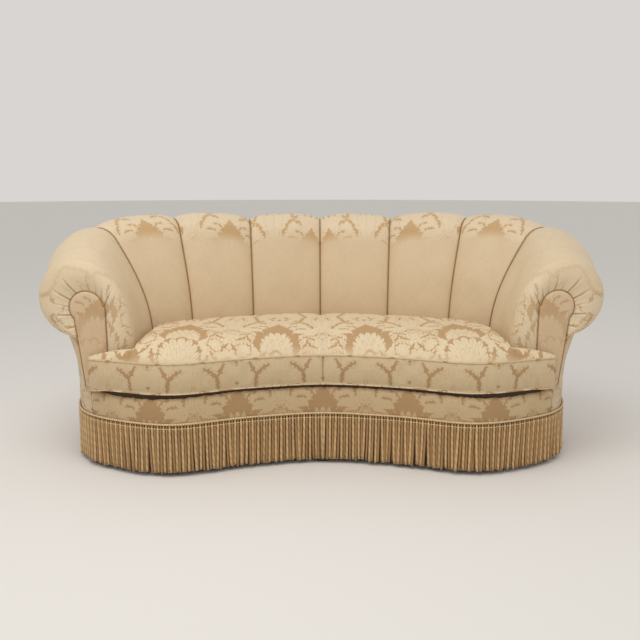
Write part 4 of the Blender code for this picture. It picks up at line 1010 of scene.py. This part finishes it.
def smooth_outline():
    """Half outline of the base from its front centre to its back centre, with its directions."""
    keys = np.array(base_shares) * (base_half_width, base_depth) + (0, base_front + foot_of_back)
    keys = np.vstack([keys[1] * (-1, 1), keys, keys[-2] * (-1, 1)])
    curve = []
    for a, b, c, d in zip(keys, keys[1:], keys[2:], keys[3:]):
        t = np.linspace(0, 1, 40, endpoint=False)[:, None]
        curve.append((2 * b + (c - a) * t + (2 * a - 5 * b + 4 * c - d) * t * t
                      + (3 * b - a - 3 * c + d) * t**3) / 2)
    curve = np.vstack([*curve, keys[-2]])
    ahead = np.gradient(curve, axis=0)
    ahead[0], ahead[-1] = (1, 0), (-1, 0)
    kernel = np.hanning(33) / np.hanning(33).sum()
    wide = np.vstack([(ahead * (1, -1))[16:0:-1], ahead, (ahead * (1, -1))[-2:-18:-1]])
    ahead = np.stack([np.convolve(wide[:, k], kernel, "valid") for k in (0, 1)], -1)
    ahead /= np.linalg.norm(ahead, axis=1)[:, None]
    length = np.concatenate([[0], np.cumsum(np.hypot(*np.diff(curve, axis=0).T))])
    return curve, np.stack([-ahead[:, 1], ahead[:, 0]], -1), length


base_curve, base_inward, base_length = smooth_outline()
whole_length = base_length[-1]


def base_at(step, inset=0.0):
    """Plan points on the base outline: step 0 is its front centre, negative on the other half."""
    step = np.asarray(step, float)
    far = np.abs(step)
    past = far > outline_steps
    far = np.where(past, 2 * outline_steps - far, far) / outline_steps * whole_length
    side = np.where(step < 0, -1, 1) * np.where(past, -1, 1)
    x, y, in_x, in_y = (np.interp(far, base_length, line)
                        for line in (*base_curve.T, *base_inward.T))
    return np.stack([side * (x + in_x * inset), y + in_y * inset], -1)


def step_at_depth(depth, inset=0.0):
    """Step on the arm's side of the lobe where the inset outline comes back to a depth."""
    steps = np.linspace(0, 25, 5001)
    line = base_at(steps, inset)[:, 1]
    low = int(np.argmin(line))
    return float(np.interp(depth, line[low:], steps[low:]))


def steps_of_stations():
    """Pairs of station and step where a station's plane meets the outline."""
    stations = np.linspace(0, 4, 161)
    foot, far = (stand_at(stations, reach, 0)[:, :2] for reach in (0, 1))
    hits = []
    for a, b in zip(foot, far):
        way = b - a
        sides = (base_curve - a) @ np.array((-way[1], way[0]))
        cross = np.flatnonzero((np.sign(sides[1:]) != np.sign(sides[:-1]))
                               & ((base_curve[1:] - a) @ way > 0))
        k = cross[0] if len(cross) else len(base_curve) - 2
        part = sides[k] / (sides[k] - sides[k + 1]) if len(cross) else 1.0
        hits.append(between(base_length[k], base_length[k + 1], part))
    return stations, np.array(hits) / whole_length * outline_steps


hit_station, hit_step = steps_of_stations()
arm_step = step_at_depth(arm_front_y)
side_step = float(np.interp(4, hit_station, hit_step))
corner_step = float(np.interp(3, hit_station, hit_step))


def panel_points(station, step, sign, ahead, roll_x, roll_z, rows=40):
    """Face and back of an outside panel, from under the roll down to the foot of the base."""
    share = np.linspace(0, 1, rows)[None, :, None]
    out = []
    for inwards in (0, cover_thickness):
        upper = stand_at(sign * station, roll_x - inwards, roll_z, ahead)
        lower = base_at(sign * step, cover_inset + inwards)
        knee = np.column_stack([lower, np.full(len(lower), border_top)])
        foot = np.column_stack([lower, np.full(len(lower), cover_bottom)])
        wall = between(upper[:, None], knee[:, None], share)
        skirt = between(knee[:, None], foot[:, None], np.linspace(0, 1, 9)[None, 1:, None])
        out.append(np.concatenate([wall, skirt], 1).transpose(1, 0, 2))
    return out


def roll_edge(station):
    """Where an outside panel is tucked up beside the end of the roll."""
    x, z, *_ = crown_of(station, 3, 3)
    bar_x, bar_z = bar_of(station, 3, 3)
    bow = side_bow * ease(station - 3)
    rise = tuck_rise * ease((station - 3) * 2)
    return (between(x[:, -1], bar_x[:, -1], tuck_share) - tuck_depth + bow,
            between(z[:, -1], bar_z[:, -1], tuck_share) + rise)


stitch_paths = {}
# Painted shade: the outside's copy of the damask is darker, for how light falls on the outside of
# the sofa.
outside_damask = damask_cloth("outside damask", (179, 145, 101), (207, 185, 151))
for side, sign in both_sides:
    front = np.linspace(arm_step + panel_gap, side_step, 9)[:-1]
    share = (side_step - front) / (side_step - arm_step)
    x, z, *_ = crown_of(front_station, 3, 3)
    key_x, key_z, _ = keyhole(z[0, -1] + facing_hem, 3, 3)
    bar_x, bar_z = bar_of(front_station, 3, 3)
    front_x = between(between(x[0, -1], key_x[-1], share), bar_x[0, -1], tuck_share)
    front_x = front_x + 0.004 + front_bow * (1 - share**4)
    front_z = between(between(z[0, -1], key_z[-1], share), bar_z[0, -1], tuck_share)
    front_z = front_z + tuck_rise * (1 - share)
    rear = np.linspace(side_step, corner_step - corner_gap, 60)
    station = np.interp(-rear, -hit_step, hit_station)
    rear_x, rear_z = roll_edge(station)
    station, steps, ahead, x, z = (np.concatenate(pair) for pair in (
        (np.full(8, 4.0), station), (front, rear), (share * (arm_nose - fit), 0 * rear),
        (front_x, rear_x), (front_z, rear_z)))
    face, back = panel_points(station, steps, sign, ahead, x, z)
    flat = cloth_map(face, 40, 30) * (panel_scale, -1) + palmette_tip
    stitch_paths[side] = face[1, 4:] * 0.75 + face[0, 4:] * 0.25
    put_on(new_pad(f"outside_arm_cover_{side}", face, back, flat), outside_damask, 0.9,
           f"outside_arm_{side}")
steps = np.linspace(corner_step + corner_gap, outline_steps, 90)
station = np.interp(-steps, -hit_step, hit_station)
x, z = roll_edge(station)
half = [panel_points(station, steps, sign, 0, x, z) for sign in (1, -1)]
face, back = (np.concatenate([half[0][k], half[1][k][:, -2::-1]], 1) for k in (0, 1))
flat = cloth_map(face, 40, 89) * (panel_scale, -1) + palmette_tip
stitch_paths["back"] = face[1] * 0.75 + face[0] * 0.25
put_on(new_pad("outside_back_cover", face, back, flat), outside_damask, 0.9, "outside_back")


def spaced_along(tree, path, pitch):
    """Points on a curve through a path, this far apart."""
    line = add_node(tree, "GeometryNodeMeshToCurve", {"Mesh": path}).outputs[0]
    return add_node(tree, "GeometryNodeResampleCurve", {"Curve": line, "Length": pitch},
                    mode="LENGTH").outputs[0]


def row_tree():
    """Small blocks set one after another along a path, each turned to follow it."""
    tree, source = new_group("small parts in a row", [
        ("Path", "Geometry", None), ("Pitch", "Float", 0.01),
        ("Size", "Vector", (0.005, 0.001, 0.001)), ("Material", "Material", None)],
        [("Row", "Geometry")], of="GeometryNodeTree")
    ahead = add_node(tree, "GeometryNodeInputTangent")
    turned = add_node(tree, "FunctionNodeAlignRotationToVector", {"Vector": ahead.outputs[0]},
                      axis="X")
    block = add_node(tree, "GeometryNodeMeshCube", {"Size": source["Size"]})
    row = add_node(tree, "GeometryNodeInstanceOnPoints", {
        "Points": spaced_along(tree, source["Path"], source["Pitch"]),
        "Instance": block.outputs["Mesh"], "Rotation": turned.outputs[0]})
    real = add_node(tree, "GeometryNodeRealizeInstances", {"Geometry": row.outputs[0]})
    done = add_node(tree, "GeometryNodeSetMaterial", {"Geometry": real.outputs[0],
                                                      "Material": source["Material"]})
    add_node(tree, "NodeGroupOutput", {"Row": done.outputs[0]})
    return tree


def evaluated(item):
    return item.evaluated_get(bpy.context.evaluated_depsgraph_get())


def made_along(name, path, tree, **values):
    """What a tree makes along a path, as one plain mesh."""
    mesh = bpy.data.meshes.new(f"{name}_path")
    mesh.from_pydata([tuple(map(float, point)) for point in path],
                     [(k, k + 1) for k in range(len(path) - 1)], [])
    line = placed(f"{name}_path", mesh)
    making = line.modifiers.new("making", "NODES")
    making.node_group = tree
    for socket in tree.interface.items_tree:
        value = values.get(socket.name.replace(" ", "_"))
        if value is not None:
            making[socket.identifier] = value
    solid = bpy.data.meshes.new_from_object(evaluated(line))
    bpy.data.objects.remove(line)
    return placed(name, solid)


row_nodes = row_tree()


def in_a_row(name, path, pitch, size, material, body="frame"):
    """A row of small parts along a path."""
    piece = made_along(name, path, row_nodes, Pitch=pitch, Size=size, Material=material)
    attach(piece, body)


sewing_thread = plain_cloth("sewing thread", (206, 174, 124), (150, 112, 64), 2600.0, 0.6, 0.0002)
for name, path in stitch_paths.items():
    in_a_row(f"hand_stitches_{name}", path, 0.0085, (0.0052, 0.0011, 0.0011), sewing_thread)

# Front border
# A band of the same cloth over thin wadding covers the front rail between the arms. Its top edge
# is soft and sags a little, most of all in front of the arms, and its ends turn in beside them.
top_curl, end_curl, border_swell = 0.008, 0.004, 0.0022
border_sag, arm_sag, ripple = 0.010, 0.009, 0.0009
arm_sag_at, arm_sag_width = 0.68, 0.20
band_scale, border_drop = 1.095, 0.070
steps = np.linspace(-arm_step, arm_step, 301)
from_end = (arm_step - np.abs(steps)) / outline_steps * whole_length
rows = np.linspace(0, 1, 19)
near_top = np.minimum(rows / 0.12, 1)
curl = top_curl * np.sqrt(1 - near_top * (2 - near_top))
curl = curl[:, None] + end_curl * (1 - np.sqrt(np.minimum(from_end / 0.010, 1)))[None, :]
curl = curl - border_swell * np.sin(math.pi * np.minimum(rows / 0.8, 1))[:, None]
plan = base_at(steps)
x = plan[:, 0]
sag = border_sag + arm_sag * np.exp(-((np.abs(x) - arm_sag_at) / arm_sag_width) ** 2)
for fine, bend, coarse in ((83, 2, 29), (197, 3, 37)):
    sag = sag + ripple * np.sin(x * fine + bend * np.sin(x * coarse))
height = border_top - sag - rows[:, None] * (border_top - sag - cover_bottom)
inward = base_at(steps, 1.0) - plan
face = np.stack([np.column_stack([plan + inward * (cover_inset + bend)[:, None], level])
                 for bend, level in zip(curl, height)])
back = np.stack([np.column_stack([plan + inward * (cover_inset + cover_thickness), level])
                 for level in height])
# Painted shade: the border's copy of the damask is darker, for how light and sheen fall on the
# front border.
border_damask = damask_cloth("border damask", (173, 139, 97), (198, 172, 132))
flat = cloth_map(face, 0, 150) * (band_scale, -1) + (0, border_drop) + palmette_tip
put_on(new_pad("border", face, back, flat), border_damask, 0.9, "front_border")

# Bench cushion
# One loose cushion in the shape of the seat, with an ear in front of each arm. It is stuffed with
# down round a foam core. Its boxing has a welt along both edges, a seam in the middle of the front
# and a zip at the back.
cushion_bottom = deck_top + fit
cushion_edge = 0.112
cushion_crown = 0.067
cushion_bulge = 0.010
cushion_clearance = 0.0035
cushion_overhang = 0.004
lip_height, lip_depth = 0.008, 0.018
ear_reach, ear_depth, ear_sections = 0.022, 0.014, 15
facing_swell = 0.0103
pucker_height, boxing_seam_depth, zip_sunk = 0.0011, 0.004, 0.0012
placket_fade, placket_margin = 0.014, 0.016
cushion_welt_radius, boxing_seam_radius = 0.0034, 0.0013
seat_scale, seat_shift, boxing_shift = 1.024, 0.0179, 0.058
# Sections of the seat from an arm to the middle: where each meets the back and the front, and how
# full it is
seat_stations = (4, 3.66, 3.32, 3, 2.5, 2, 1.5, 1, 0.5, 0)
front_shares = (1, 0.97, 0.93, 0.88, 0.77, 0.65, 0.50, 0.34, 0.17, 0)
seat_crowns = (0.55, 0.82, 0.95, 1, 1, 1, 1, 1, 1, 1)
notch = arm_front_y - facing_swell - cushion_clearance


def cushion_plan():
    """Back points, front points and crown of the sections from one ear to the other."""
    tip_step = step_at_depth(notch - ear_depth, -cushion_overhang)
    tip = base_at(tip_step, -cushion_overhang - ear_reach)
    corner = np.array((seat_half_width - cushion_clearance, notch))
    steps = np.linspace(0, 20, 4001)
    line = base_at(steps, -cushion_overhang)
    corner_at = steps[int(np.argmax(line[:, 0] > corner[0]))]
    ear = np.linspace(1, 0, ear_sections, endpoint=False)
    back = [between(corner, np.array((tip[0], notch)), share) for share in ear]
    front_step = [between(corner_at, tip_step, share) for share in ear]
    crown = list(np.interp(1 - ear, (0, 0.3, 0.65, 1), (0.12, 0.28, 0.42, 0.55)))
    key = np.concatenate([np.linspace(0, 8.9, 102), (8.95, 8.97, 8.985, 9)])
    station = np.interp(key, range(10), seat_stations)
    ahead = stand_at(station, -cushion_clearance, 0)[:, :2]
    ahead[0] = corner
    ahead[1:4, 1] = np.maximum(ahead[1:4, 1], notch)
    back = np.vstack([back, ahead])
    front_step = np.concatenate([front_step, corner_at * np.interp(key, range(10), front_shares)])
    crown = np.concatenate([crown, np.interp(key, range(10), seat_crowns)])
    crown[9:40] = np.convolve(crown, np.hanning(13) / np.hanning(13).sum(), "same")[9:40]
    front = base_at(front_step, -cushion_overhang)
    front[:ear_sections] = [base_at(step, -cushion_overhang - ear_reach * far**1.5)
                            for step, far in zip(front_step, ear)]
    flip = np.array((-1, 1))
    return (np.vstack([back, back[-2::-1] * flip]), np.vstack([front, front[-2::-1] * flip]),
            np.concatenate([crown, crown[-2::-1]]))


cushion_back, cushion_front, crown = cushion_plan()
under, box, over, rear = 34, 13, 58, 13
length = np.hypot(*(cushion_front - cushion_back).T)
drawn = (1 - cushion_bulge / np.maximum(length, 0.060))[:, None]
low = 1 - (1 - np.linspace(0, 1, under, endpoint=False)[None, :]) ** 1.6
rise = np.linspace(0, 1, box, endpoint=False)[None, :]
top = (1 - np.linspace(0, 1, over, endpoint=False))[None, :]
fall = np.linspace(1, 0, rear, endpoint=False)[None, :]
section = np.arange(len(length))
lip = lip_height * ease(np.minimum(section, section[::-1]) / 12)[:, None]
curl = np.minimum((1 - low) * length[:, None] / lip_depth, 1)
tuck = 0.95 * lip * np.sqrt(np.sin(math.pi * curl) + 1e-9) + 2.2 * lip * (curl - curl**4)
tuck = tuck * (curl < 1) / np.maximum(length, 0.060)[:, None]
at = np.hstack([low * drawn + tuck, drawn + (1 - drawn) * np.sin(math.pi * rise) ** 0.8,
                top * drawn, 0 * fall + 0 * drawn])
crest = 1 - np.where(top < 0.5, np.abs(2 * top - 1) ** 11.0, np.abs(2 * top - 1) ** 3.4)
level = np.hstack([lip * (1 - curl), lip + rise * (cushion_edge - lip),
                   cushion_edge + crown[:, None] * cushion_crown * crest,
                   fall * cushion_edge + 0 * drawn])
plan = between(cushion_back[:, None], cushion_front[:, None], at[..., None])
rings = np.concatenate([plan, cushion_bottom + level[..., None]], -1)
sections, points = rings.shape[:2]
front_top, back_top = under + box, under + box + over


def along(line):
    """Length along a line of points from its middle one."""
    length = np.concatenate([[0], np.cumsum(np.linalg.norm(np.diff(line, axis=0), axis=1))])
    return length - length[len(line) // 2]


flat_top = (rings[..., :2] + (0, seat_shift)) * (seat_scale, 1)
front_band, back_band = (stacked(along(rings[:, row])[:, None] * band_scale + arch_tip[0],
                                 rings[..., 2] - cushion_bottom + boxing_shift)
                         for row in (under, 0))
number = np.arange(sections * points).reshape(sections, points)
after = np.roll(number, -1, 1)
faces = np.stack([number[:-1], after[:-1], after[1:], number[1:]], -1).reshape(-1, 4).tolist()
cut_of_row = np.repeat((0, 1, 0, 2), (under, box, over, rear))
group = np.concatenate([np.tile(cut_of_row, sections - 1), (0, 0)])
faces += [number[0].tolist(), number[-1, ::-1].tolist()]
shown = np.ones((sections, points))
# Painted sheen: the top's figure fades out towards the front welt.
shown[:, front_top:front_top + 5] = np.linspace(0.25, 1, 5)
piece = turned_out(new_piece("cushion", rings, faces, np.stack([flat_top, front_band, back_band]),
                             shown, group), flat_ends=True)


def stuff(piece, rest, held, most, pressure=4.0, ease_in=-0.012):
    """Blows the cover up as its stuffing would, held along its welts, at most so far."""
    group = piece.vertex_groups.new(name="held")
    group.add(np.flatnonzero(held).tolist(), 1.0, "REPLACE")
    cloth = piece.modifiers.new("stuffing", "CLOTH")
    settings = cloth.settings
    settings.quality = 6
    settings.use_pressure = True
    settings.uniform_pressure_force = pressure
    settings.effector_weights.gravity = 0
    settings.shrink_min = ease_in
    settings.bending_stiffness = 0.8
    settings.vertex_group_mass = "held"
    for moment in range(1, 21):
        bpy.context.scene.frame_set(moment)
    blown = evaluated(piece).data
    place_at = np.empty(len(blown.vertices) * 3)
    blown.vertices.foreach_get("co", place_at)
    piece.modifiers.remove(cloth)
    piece.vertex_groups.remove(group)
    bpy.context.scene.frame_set(1)
    move = place_at.reshape(-1, 3) - rest
    far = np.linalg.norm(move, axis=1)
    return rest + move * (np.minimum(far, most) / np.maximum(far, 1e-9))[:, None]


row_most = np.repeat((0.0004, 0.007, 0.012, 0.0014), (under, box, over, rear))
held = np.zeros((sections, points), bool)
held[:, (0, under, front_top, back_top)] = True
held[(0, -1), :] = True
rest = rings.reshape(-1, 3)
rings = stuff(piece, rest, held.ravel(), np.tile(row_most, sections)).reshape(rings.shape)
row = np.arange(points)
pull = np.minimum(np.abs(row - under), np.abs(row - front_top))
pucker = np.exp(-pull / 3.0)[None, :] * (1 - np.exp(-pull / 0.8))[None, :]
run = front_band[..., 0] - arch_tip[0]
wave = np.sin(run * 171 + 2.1 * np.sin(run * 23)) + 0.6 * np.sin(run * 277 + 1.3 * np.sin(run * 41))
outward = np.zeros(rings.shape)
outward[:, under:front_top, :2] = (cushion_front - cushion_back)[:, None] / length[:, None, None]
outward[:, front_top:back_top, 2] = 1
pucker = pucker * np.isin(cut_of_row, (0, 1)) * (row > under)
rings = rings + outward * (pucker_height * wave * pucker)[..., None]
seam = np.exp(-(rings[..., 0] / 0.006) ** 2) * ((row > under) & (row < front_top))
rings = rings - outward * (boxing_seam_depth * seam)[..., None]
zip_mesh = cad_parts["seat_cushion_zip"].data
zip_points = np.array([tuple(corner.co) for corner in zip_mesh.vertices])
curve = np.polyfit(zip_points[:, 0], zip_points[:, 1], 4)
outer = zip_points[zip_points[:, 1] > np.polyval(curve, zip_points[:, 0])]
outer = outer[np.argsort(outer[:, 0])]
zip_end, (zip_low, zip_high) = outer[-1, 0], (zip_points[:, 2].min(), zip_points[:, 2].max())
rear_wall = rings[:, back_top:]
beyond = np.maximum(np.maximum(zip_low - rear_wall[..., 2], rear_wall[..., 2] - zip_high), 0)
placket = ease(1 - beyond / placket_fade)
placket *= ease((zip_end + placket_margin - np.abs(rear_wall[..., 0])) / placket_fade)
room = np.interp(rear_wall[..., 0], outer[:, 0], outer[:, 1]) - zip_sunk - rear_wall[..., 1]
rear_wall[..., 1] += np.minimum(room, 0) * placket
piece.data.vertices.foreach_set("co", rings.ravel())
piece.data.update()
# Painted light: the cushion top's copy of the damask is lighter and the boxing's darker, for how
# light and sheen fall on each.
cushion_damask = damask_cloth("cushion damask", (184, 147, 102), (221, 200, 164))
boxing_damask = damask_cloth("boxing damask", (172, 138, 95), (203, 179, 141))
piece.data.materials.append(cushion_damask)
piece.data.materials.append(boxing_damask)
cut = np.zeros(len(piece.data.polygons), np.int32)
cut[:len(group) - 2] = group[:-2] > 0
piece.data.polygons.foreach_set("material_index", cut)
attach(piece, "seat_cushion")
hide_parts("seat_cushion_cover", "seat_cushion_core")
new_welt("boxing_seam", rings[sections // 2, under + 1:front_top], boxing_seam_radius, shaded_seam_cloth,
         body="seat_cushion", sides=6)
for name, front, back, wander in (("top", front_top, back_top, 0), ("bottom", under, 0, 0.0009)):
    loop = np.vstack([rings[:, front], rings[::-1, back]])
    gap = np.linalg.norm(loop - np.roll(loop, 1, 0), axis=1)
    loop = loop[gap > 0.001]
    loop[:, 2] += wander * np.sin(loop[:, 0] * 61 + 2 * np.sin(loop[:, 0] * 17))
    new_welt(f"cushion_welt_{name}", loop, cushion_welt_radius, boxing_damask,
             body="seat_cushion", closed=True)

# Fringe
# Bullion fringe hangs from a twisted heading all round the base, down to just above the floor.
# Smooth cords of silky yarn take turns with tightly twisted ones.
fringe_top = 0.200
fringe_bottom = 0.014


def twisted_yarn(name, light, dark, pitch, deep, roughness):
    """Silky yarn laid up in a twist: lighter on its crowns and darker down in its grooves."""
    material, tree, shader = new_material(name, Sheen_Weight=0.15, Specular_IOR_Level=0.45)
    lay = add_node(tree, "ShaderNodeAttribute", attribute_name="lay").outputs["Vector"]
    cosine, sine, along = parts_of(tree, lay)
    along = along * (math.tau / pitch)
    ply = (along.math("SINE") * cosine + along.math("COSINE") * sine) * 0.5 + 0.5
    streak = noise_at(tree, object_place(tree), 1.0, 3.0, drawn=(110, 110, 9))
    # Painted shade: the tone darkens down in the twist's grooves, by the share deep.
    tone = ply ** 0.6 * deep + (1.0 - streak) * 0.9 - 0.05
    coloured(tree, shader, tone.from_0_to_1(), dark, light)
    roughened(tree, shader, ply, roughness + 0.15, roughness)
    raised(tree, shader, ply ** 0.6, 0.9, 0.0016)
    return material


# The smooth cords are a pale yarn and the twisted ones a darker one; the smooth yarn is made as
# light as the highlights on them, and the twisted yarn darker still for the shade between the
# cords.
yarn = twisted_yarn("smooth fringe yarn", (232, 196, 140), (138, 100, 56), 0.030, 0.30, 0.42)
rope = twisted_yarn("twisted fringe yarn", (180, 138, 84), (64, 42, 20), 0.0075, 0.80, 0.55)
head_yarn = twisted_yarn("heading yarn", (228, 198, 150), (142, 104, 60), 0.0090, 0.75, 0.5)


cord_faces, cord_rows, drawn_in_over, drawn_in_to = 6, 9, -0.013, 0.45


def scaled(tree, vector, scale):
    return add_node(tree, "ShaderNodeVectorMath", {0: vector, "Scale": scale},
                    operation="SCALE").outputs[0]


def stored(tree, shape, name, value, kind, domain):
    """A shape that keeps a value of this name for each of its points or copies."""
    return add_node(tree, "GeometryNodeStoreNamedAttribute",
                    {"Geometry": shape, "Name": name, "Value": value},
                    data_type=kind, domain=domain).outputs[0]


def read_back(tree, name, kind):
    return add_node(tree, "GeometryNodeInputNamedAttribute", {"Name": name},
                    data_type=kind).outputs[0]


def fringe_tree():
    """Cords hung along a heading, every other one twisted, each with its own lean and length."""
    tree, source = new_group("bullion fringe", [
        ("Heading", "Geometry", None), ("Pitch", "Float", 0.0105), ("Length", "Float", 0.176),
        ("Smooth radius", "Float", 0.0049), ("Twisted radius", "Float", 0.0044),
        ("Lean", "Float", 0.016), ("Sway", "Float", 0.0045), ("Uneven length", "Float", 0.04),
        ("Seed", "Int", 4), ("Smooth yarn", "Material", yarn), ("Twisted yarn", "Material", rope)],
        [("Fringe", "Geometry")], of="GeometryNodeTree")
    heading = spaced_along(tree, source["Heading"], source["Pitch"])
    odd = Reckon(tree, add_node(tree, "GeometryNodeInputIndex").outputs[0]).math("MODULO", 2.0)
    lean, sway, shorter = (
        add_node(tree, "FunctionNodeRandomValue", {0: low, 1: high, 8: source["Seed"] + shift},
                 data_type="FLOAT_VECTOR").outputs[0]
        for low, high, shift in (((-1, -1, 0), (1, 1, 0), 0.0), ((-1, -1, 0), (1, 1, 0), 11.0),
                                 ((0, 0, -1), (0, 0, 0), 23.0)))
    stretch = add_node(tree, "ShaderNodeVectorMath", {
        0: (1.0, 1.0, 1.0), 1: scaled(tree, shorter, source["Uneven length"])}, operation="ADD")
    both = add_node(tree, "GeometryNodeJoinGeometry")
    for radius, chosen, twisted in ((source["Smooth radius"], 1.0 - odd, 0.0),
                                    (source["Twisted radius"], odd, 1.0)):
        cord = add_node(tree, "GeometryNodeMeshCylinder", {
            "Vertices": cord_faces, "Side Segments": cord_rows, "Radius": radius,
            "Depth": source["Length"]}, fill_type="NGON")
        down = add_node(tree, "ShaderNodeCombineXYZ", {"Z": source["Length"] * -0.5})
        cord = add_node(tree, "GeometryNodeTransform", {"Geometry": cord.outputs["Mesh"],
                                                        "Translation": down.outputs[0]})
        where = add_node(tree, "GeometryNodeInputPosition").outputs[0]
        x, y, z = parts_of(tree, where)
        drawn_in = add_node(tree, "ShaderNodeMapRange", {
            0: z, 1: 0.0, 2: drawn_in_over, 3: drawn_in_to, 4: 1.0}).outputs[0]
        narrow = add_node(tree, "ShaderNodeCombineXYZ", {0: drawn_in, 1: drawn_in, 2: 1.0})
        narrow = add_node(tree, "ShaderNodeVectorMath", {0: where, 1: narrow.outputs[0]},
                          operation="MULTIPLY")
        turn = y.math("ARCTAN2", x)
        lay = add_node(tree, "ShaderNodeCombineXYZ", {0: turn.math("COSINE"), 1: turn.math("SINE"),
                                                      2: z})
        cord = stored(tree, cord.outputs[0], "lay", lay.outputs[0], "FLOAT_VECTOR", "POINT")
        cord = add_node(tree, "GeometryNodeSetPosition", {"Geometry": cord,
                                                          "Position": narrow.outputs[0]})
        hung = add_node(tree, "GeometryNodeInstanceOnPoints", {
            "Points": heading, "Selection": chosen, "Instance": cord.outputs[0],
            "Rotation": scaled(tree, lean, source["Lean"]), "Scale": stretch.outputs[0]})
        hung = stored(tree, hung.outputs[0], "sway", sway, "FLOAT_VECTOR", "INSTANCE")
        hung = stored(tree, hung, "twisted", twisted, "FLOAT", "INSTANCE")
        tree.links.new(hung, both.inputs[0])
    real = add_node(tree, "GeometryNodeRealizeInstances", {"Geometry": both.outputs[0]})
    depth = parts_of(tree, read_back(tree, "lay", "FLOAT_VECTOR"))[2] / source["Length"]
    offset = scaled(tree, read_back(tree, "sway", "FLOAT_VECTOR"), depth * depth * source["Sway"])
    done = add_node(tree, "GeometryNodeSetPosition", {"Geometry": real.outputs[0],
                                                      "Offset": offset})
    done = add_node(tree, "GeometryNodeSetShadeSmooth", {"Geometry": done.outputs[0]})
    twisted = read_back(tree, "twisted", "FLOAT")
    for name, chosen in (("Smooth yarn", True), ("Twisted yarn", twisted)):
        done = add_node(tree, "GeometryNodeSetMaterial", {
            "Geometry": done.outputs[0], "Selection": chosen, "Material": source[name]})
    add_node(tree, "NodeGroupOutput", {"Fringe": done.outputs[0]})
    return tree


fringe_nodes = fringe_tree()
fringe_end = 0.0053 / whole_length * outline_steps
# Each layer of cords: its name, inset, top and seed, and what differs in it
layers = (("bullion", 0.0045, fringe_top - 0.008, 3, {}),
          # Painted shade: the back layer's cords all take the dark twisted yarn.
          ("bullion_under", 0.0135, cover_bottom - 0.001, 40, {"Smooth_yarn": rope, "Lean": 0.015}))
# Each cord of the heading: its name, inset, how far down it lies, and its radius
headings = (("heading", 0.0040, 0.0045, 0.0036), ("gimp", 0.0024, 0.0205, 0.0015))
for number, (name, first, last) in enumerate((("front", 0, 12), ("side", 12, 25),
                                              ("back", 25, outline_steps))):
    for side, sign in both_sides:
        steps = np.linspace(first + fringe_end, last - fringe_end, 160)
        for layer, inset, top, seed, values in layers:
            path = np.column_stack([base_at(sign * steps, inset), np.full(len(steps), top)])
            piece = made_along(f"{layer}_{name}_{side}", path, fringe_nodes,
                               Length=top - fringe_bottom, Seed=seed + 7 * number + sign, **values)
            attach(piece, "frame")
            if layer == "bullion":
                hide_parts(f"fringe_{name}_{side}")
        steps = np.linspace(first, last, 220)
        for part, inset, level, radius in headings:
            path = np.column_stack([base_at(sign * steps, inset),
                                    np.full(len(steps), fringe_top - level)])
            new_welt(f"fringe_{part}_{name}_{side}", path, radius, head_yarn,
                     sides=8)

# Legs and underside
# Short tapered legs of dark stained wood stand under the rails, behind the fringe. Black cambric
# is stapled under the frame to keep the dust out.
finish_nodes(timber("leg timber", (92, 58, 36), (48, 28, 17), (20, 20, 1.5), 0.4, coat=0.3),
             *(f"leg_{end}_{side}" for end in ("front", "back") for side in (*sides, "centre")))
finish_nodes(plain_cloth("cambric", (52, 50, 50), (22, 21, 21), 700.0, 0.9, 0.0003), "dust_cover")
staple_margin = 0.009
low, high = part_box("dust_cover")
steps = np.linspace(-outline_steps, outline_steps, 400)
path = np.column_stack([base_at(steps, base_half_width - high.x + staple_margin),
                        np.full(len(steps), low.z - fit)])
in_a_row("cambric_staples", path, 0.048, (0.010, 0.0012, 0.0009), drawn_steel("staple steel"))

# Zip
# The cover opens along the middle of its back boxing, on a coiled zip sewn to a cloth tape.
finish_nodes(plain_cloth("zip tape", (202, 174, 128), (150, 122, 82), 1100.0, 0.7, 0.0003,
                         upright=True), "seat_cushion_zip")
teeth_margin, teeth_ahead = 0.004, 0.0004
x = np.linspace(outer[0, 0] + teeth_margin, outer[-1, 0] - teeth_margin, 160)
path = np.column_stack([x, np.interp(x, outer[:, 0], outer[:, 1]) + teeth_ahead,
                        np.full(len(x), zip_points[:, 2].mean())])
nylon = clouded("zip nylon", (166, 136, 92), (206, 178, 132), (0.25, 0.50), 160.0, 2.0,
                Specular_IOR_Level=0.45)
in_a_row("zip_teeth", path, 0.0024, (0.0014, 0.0014, 0.0052), nylon, "seat_cushion")
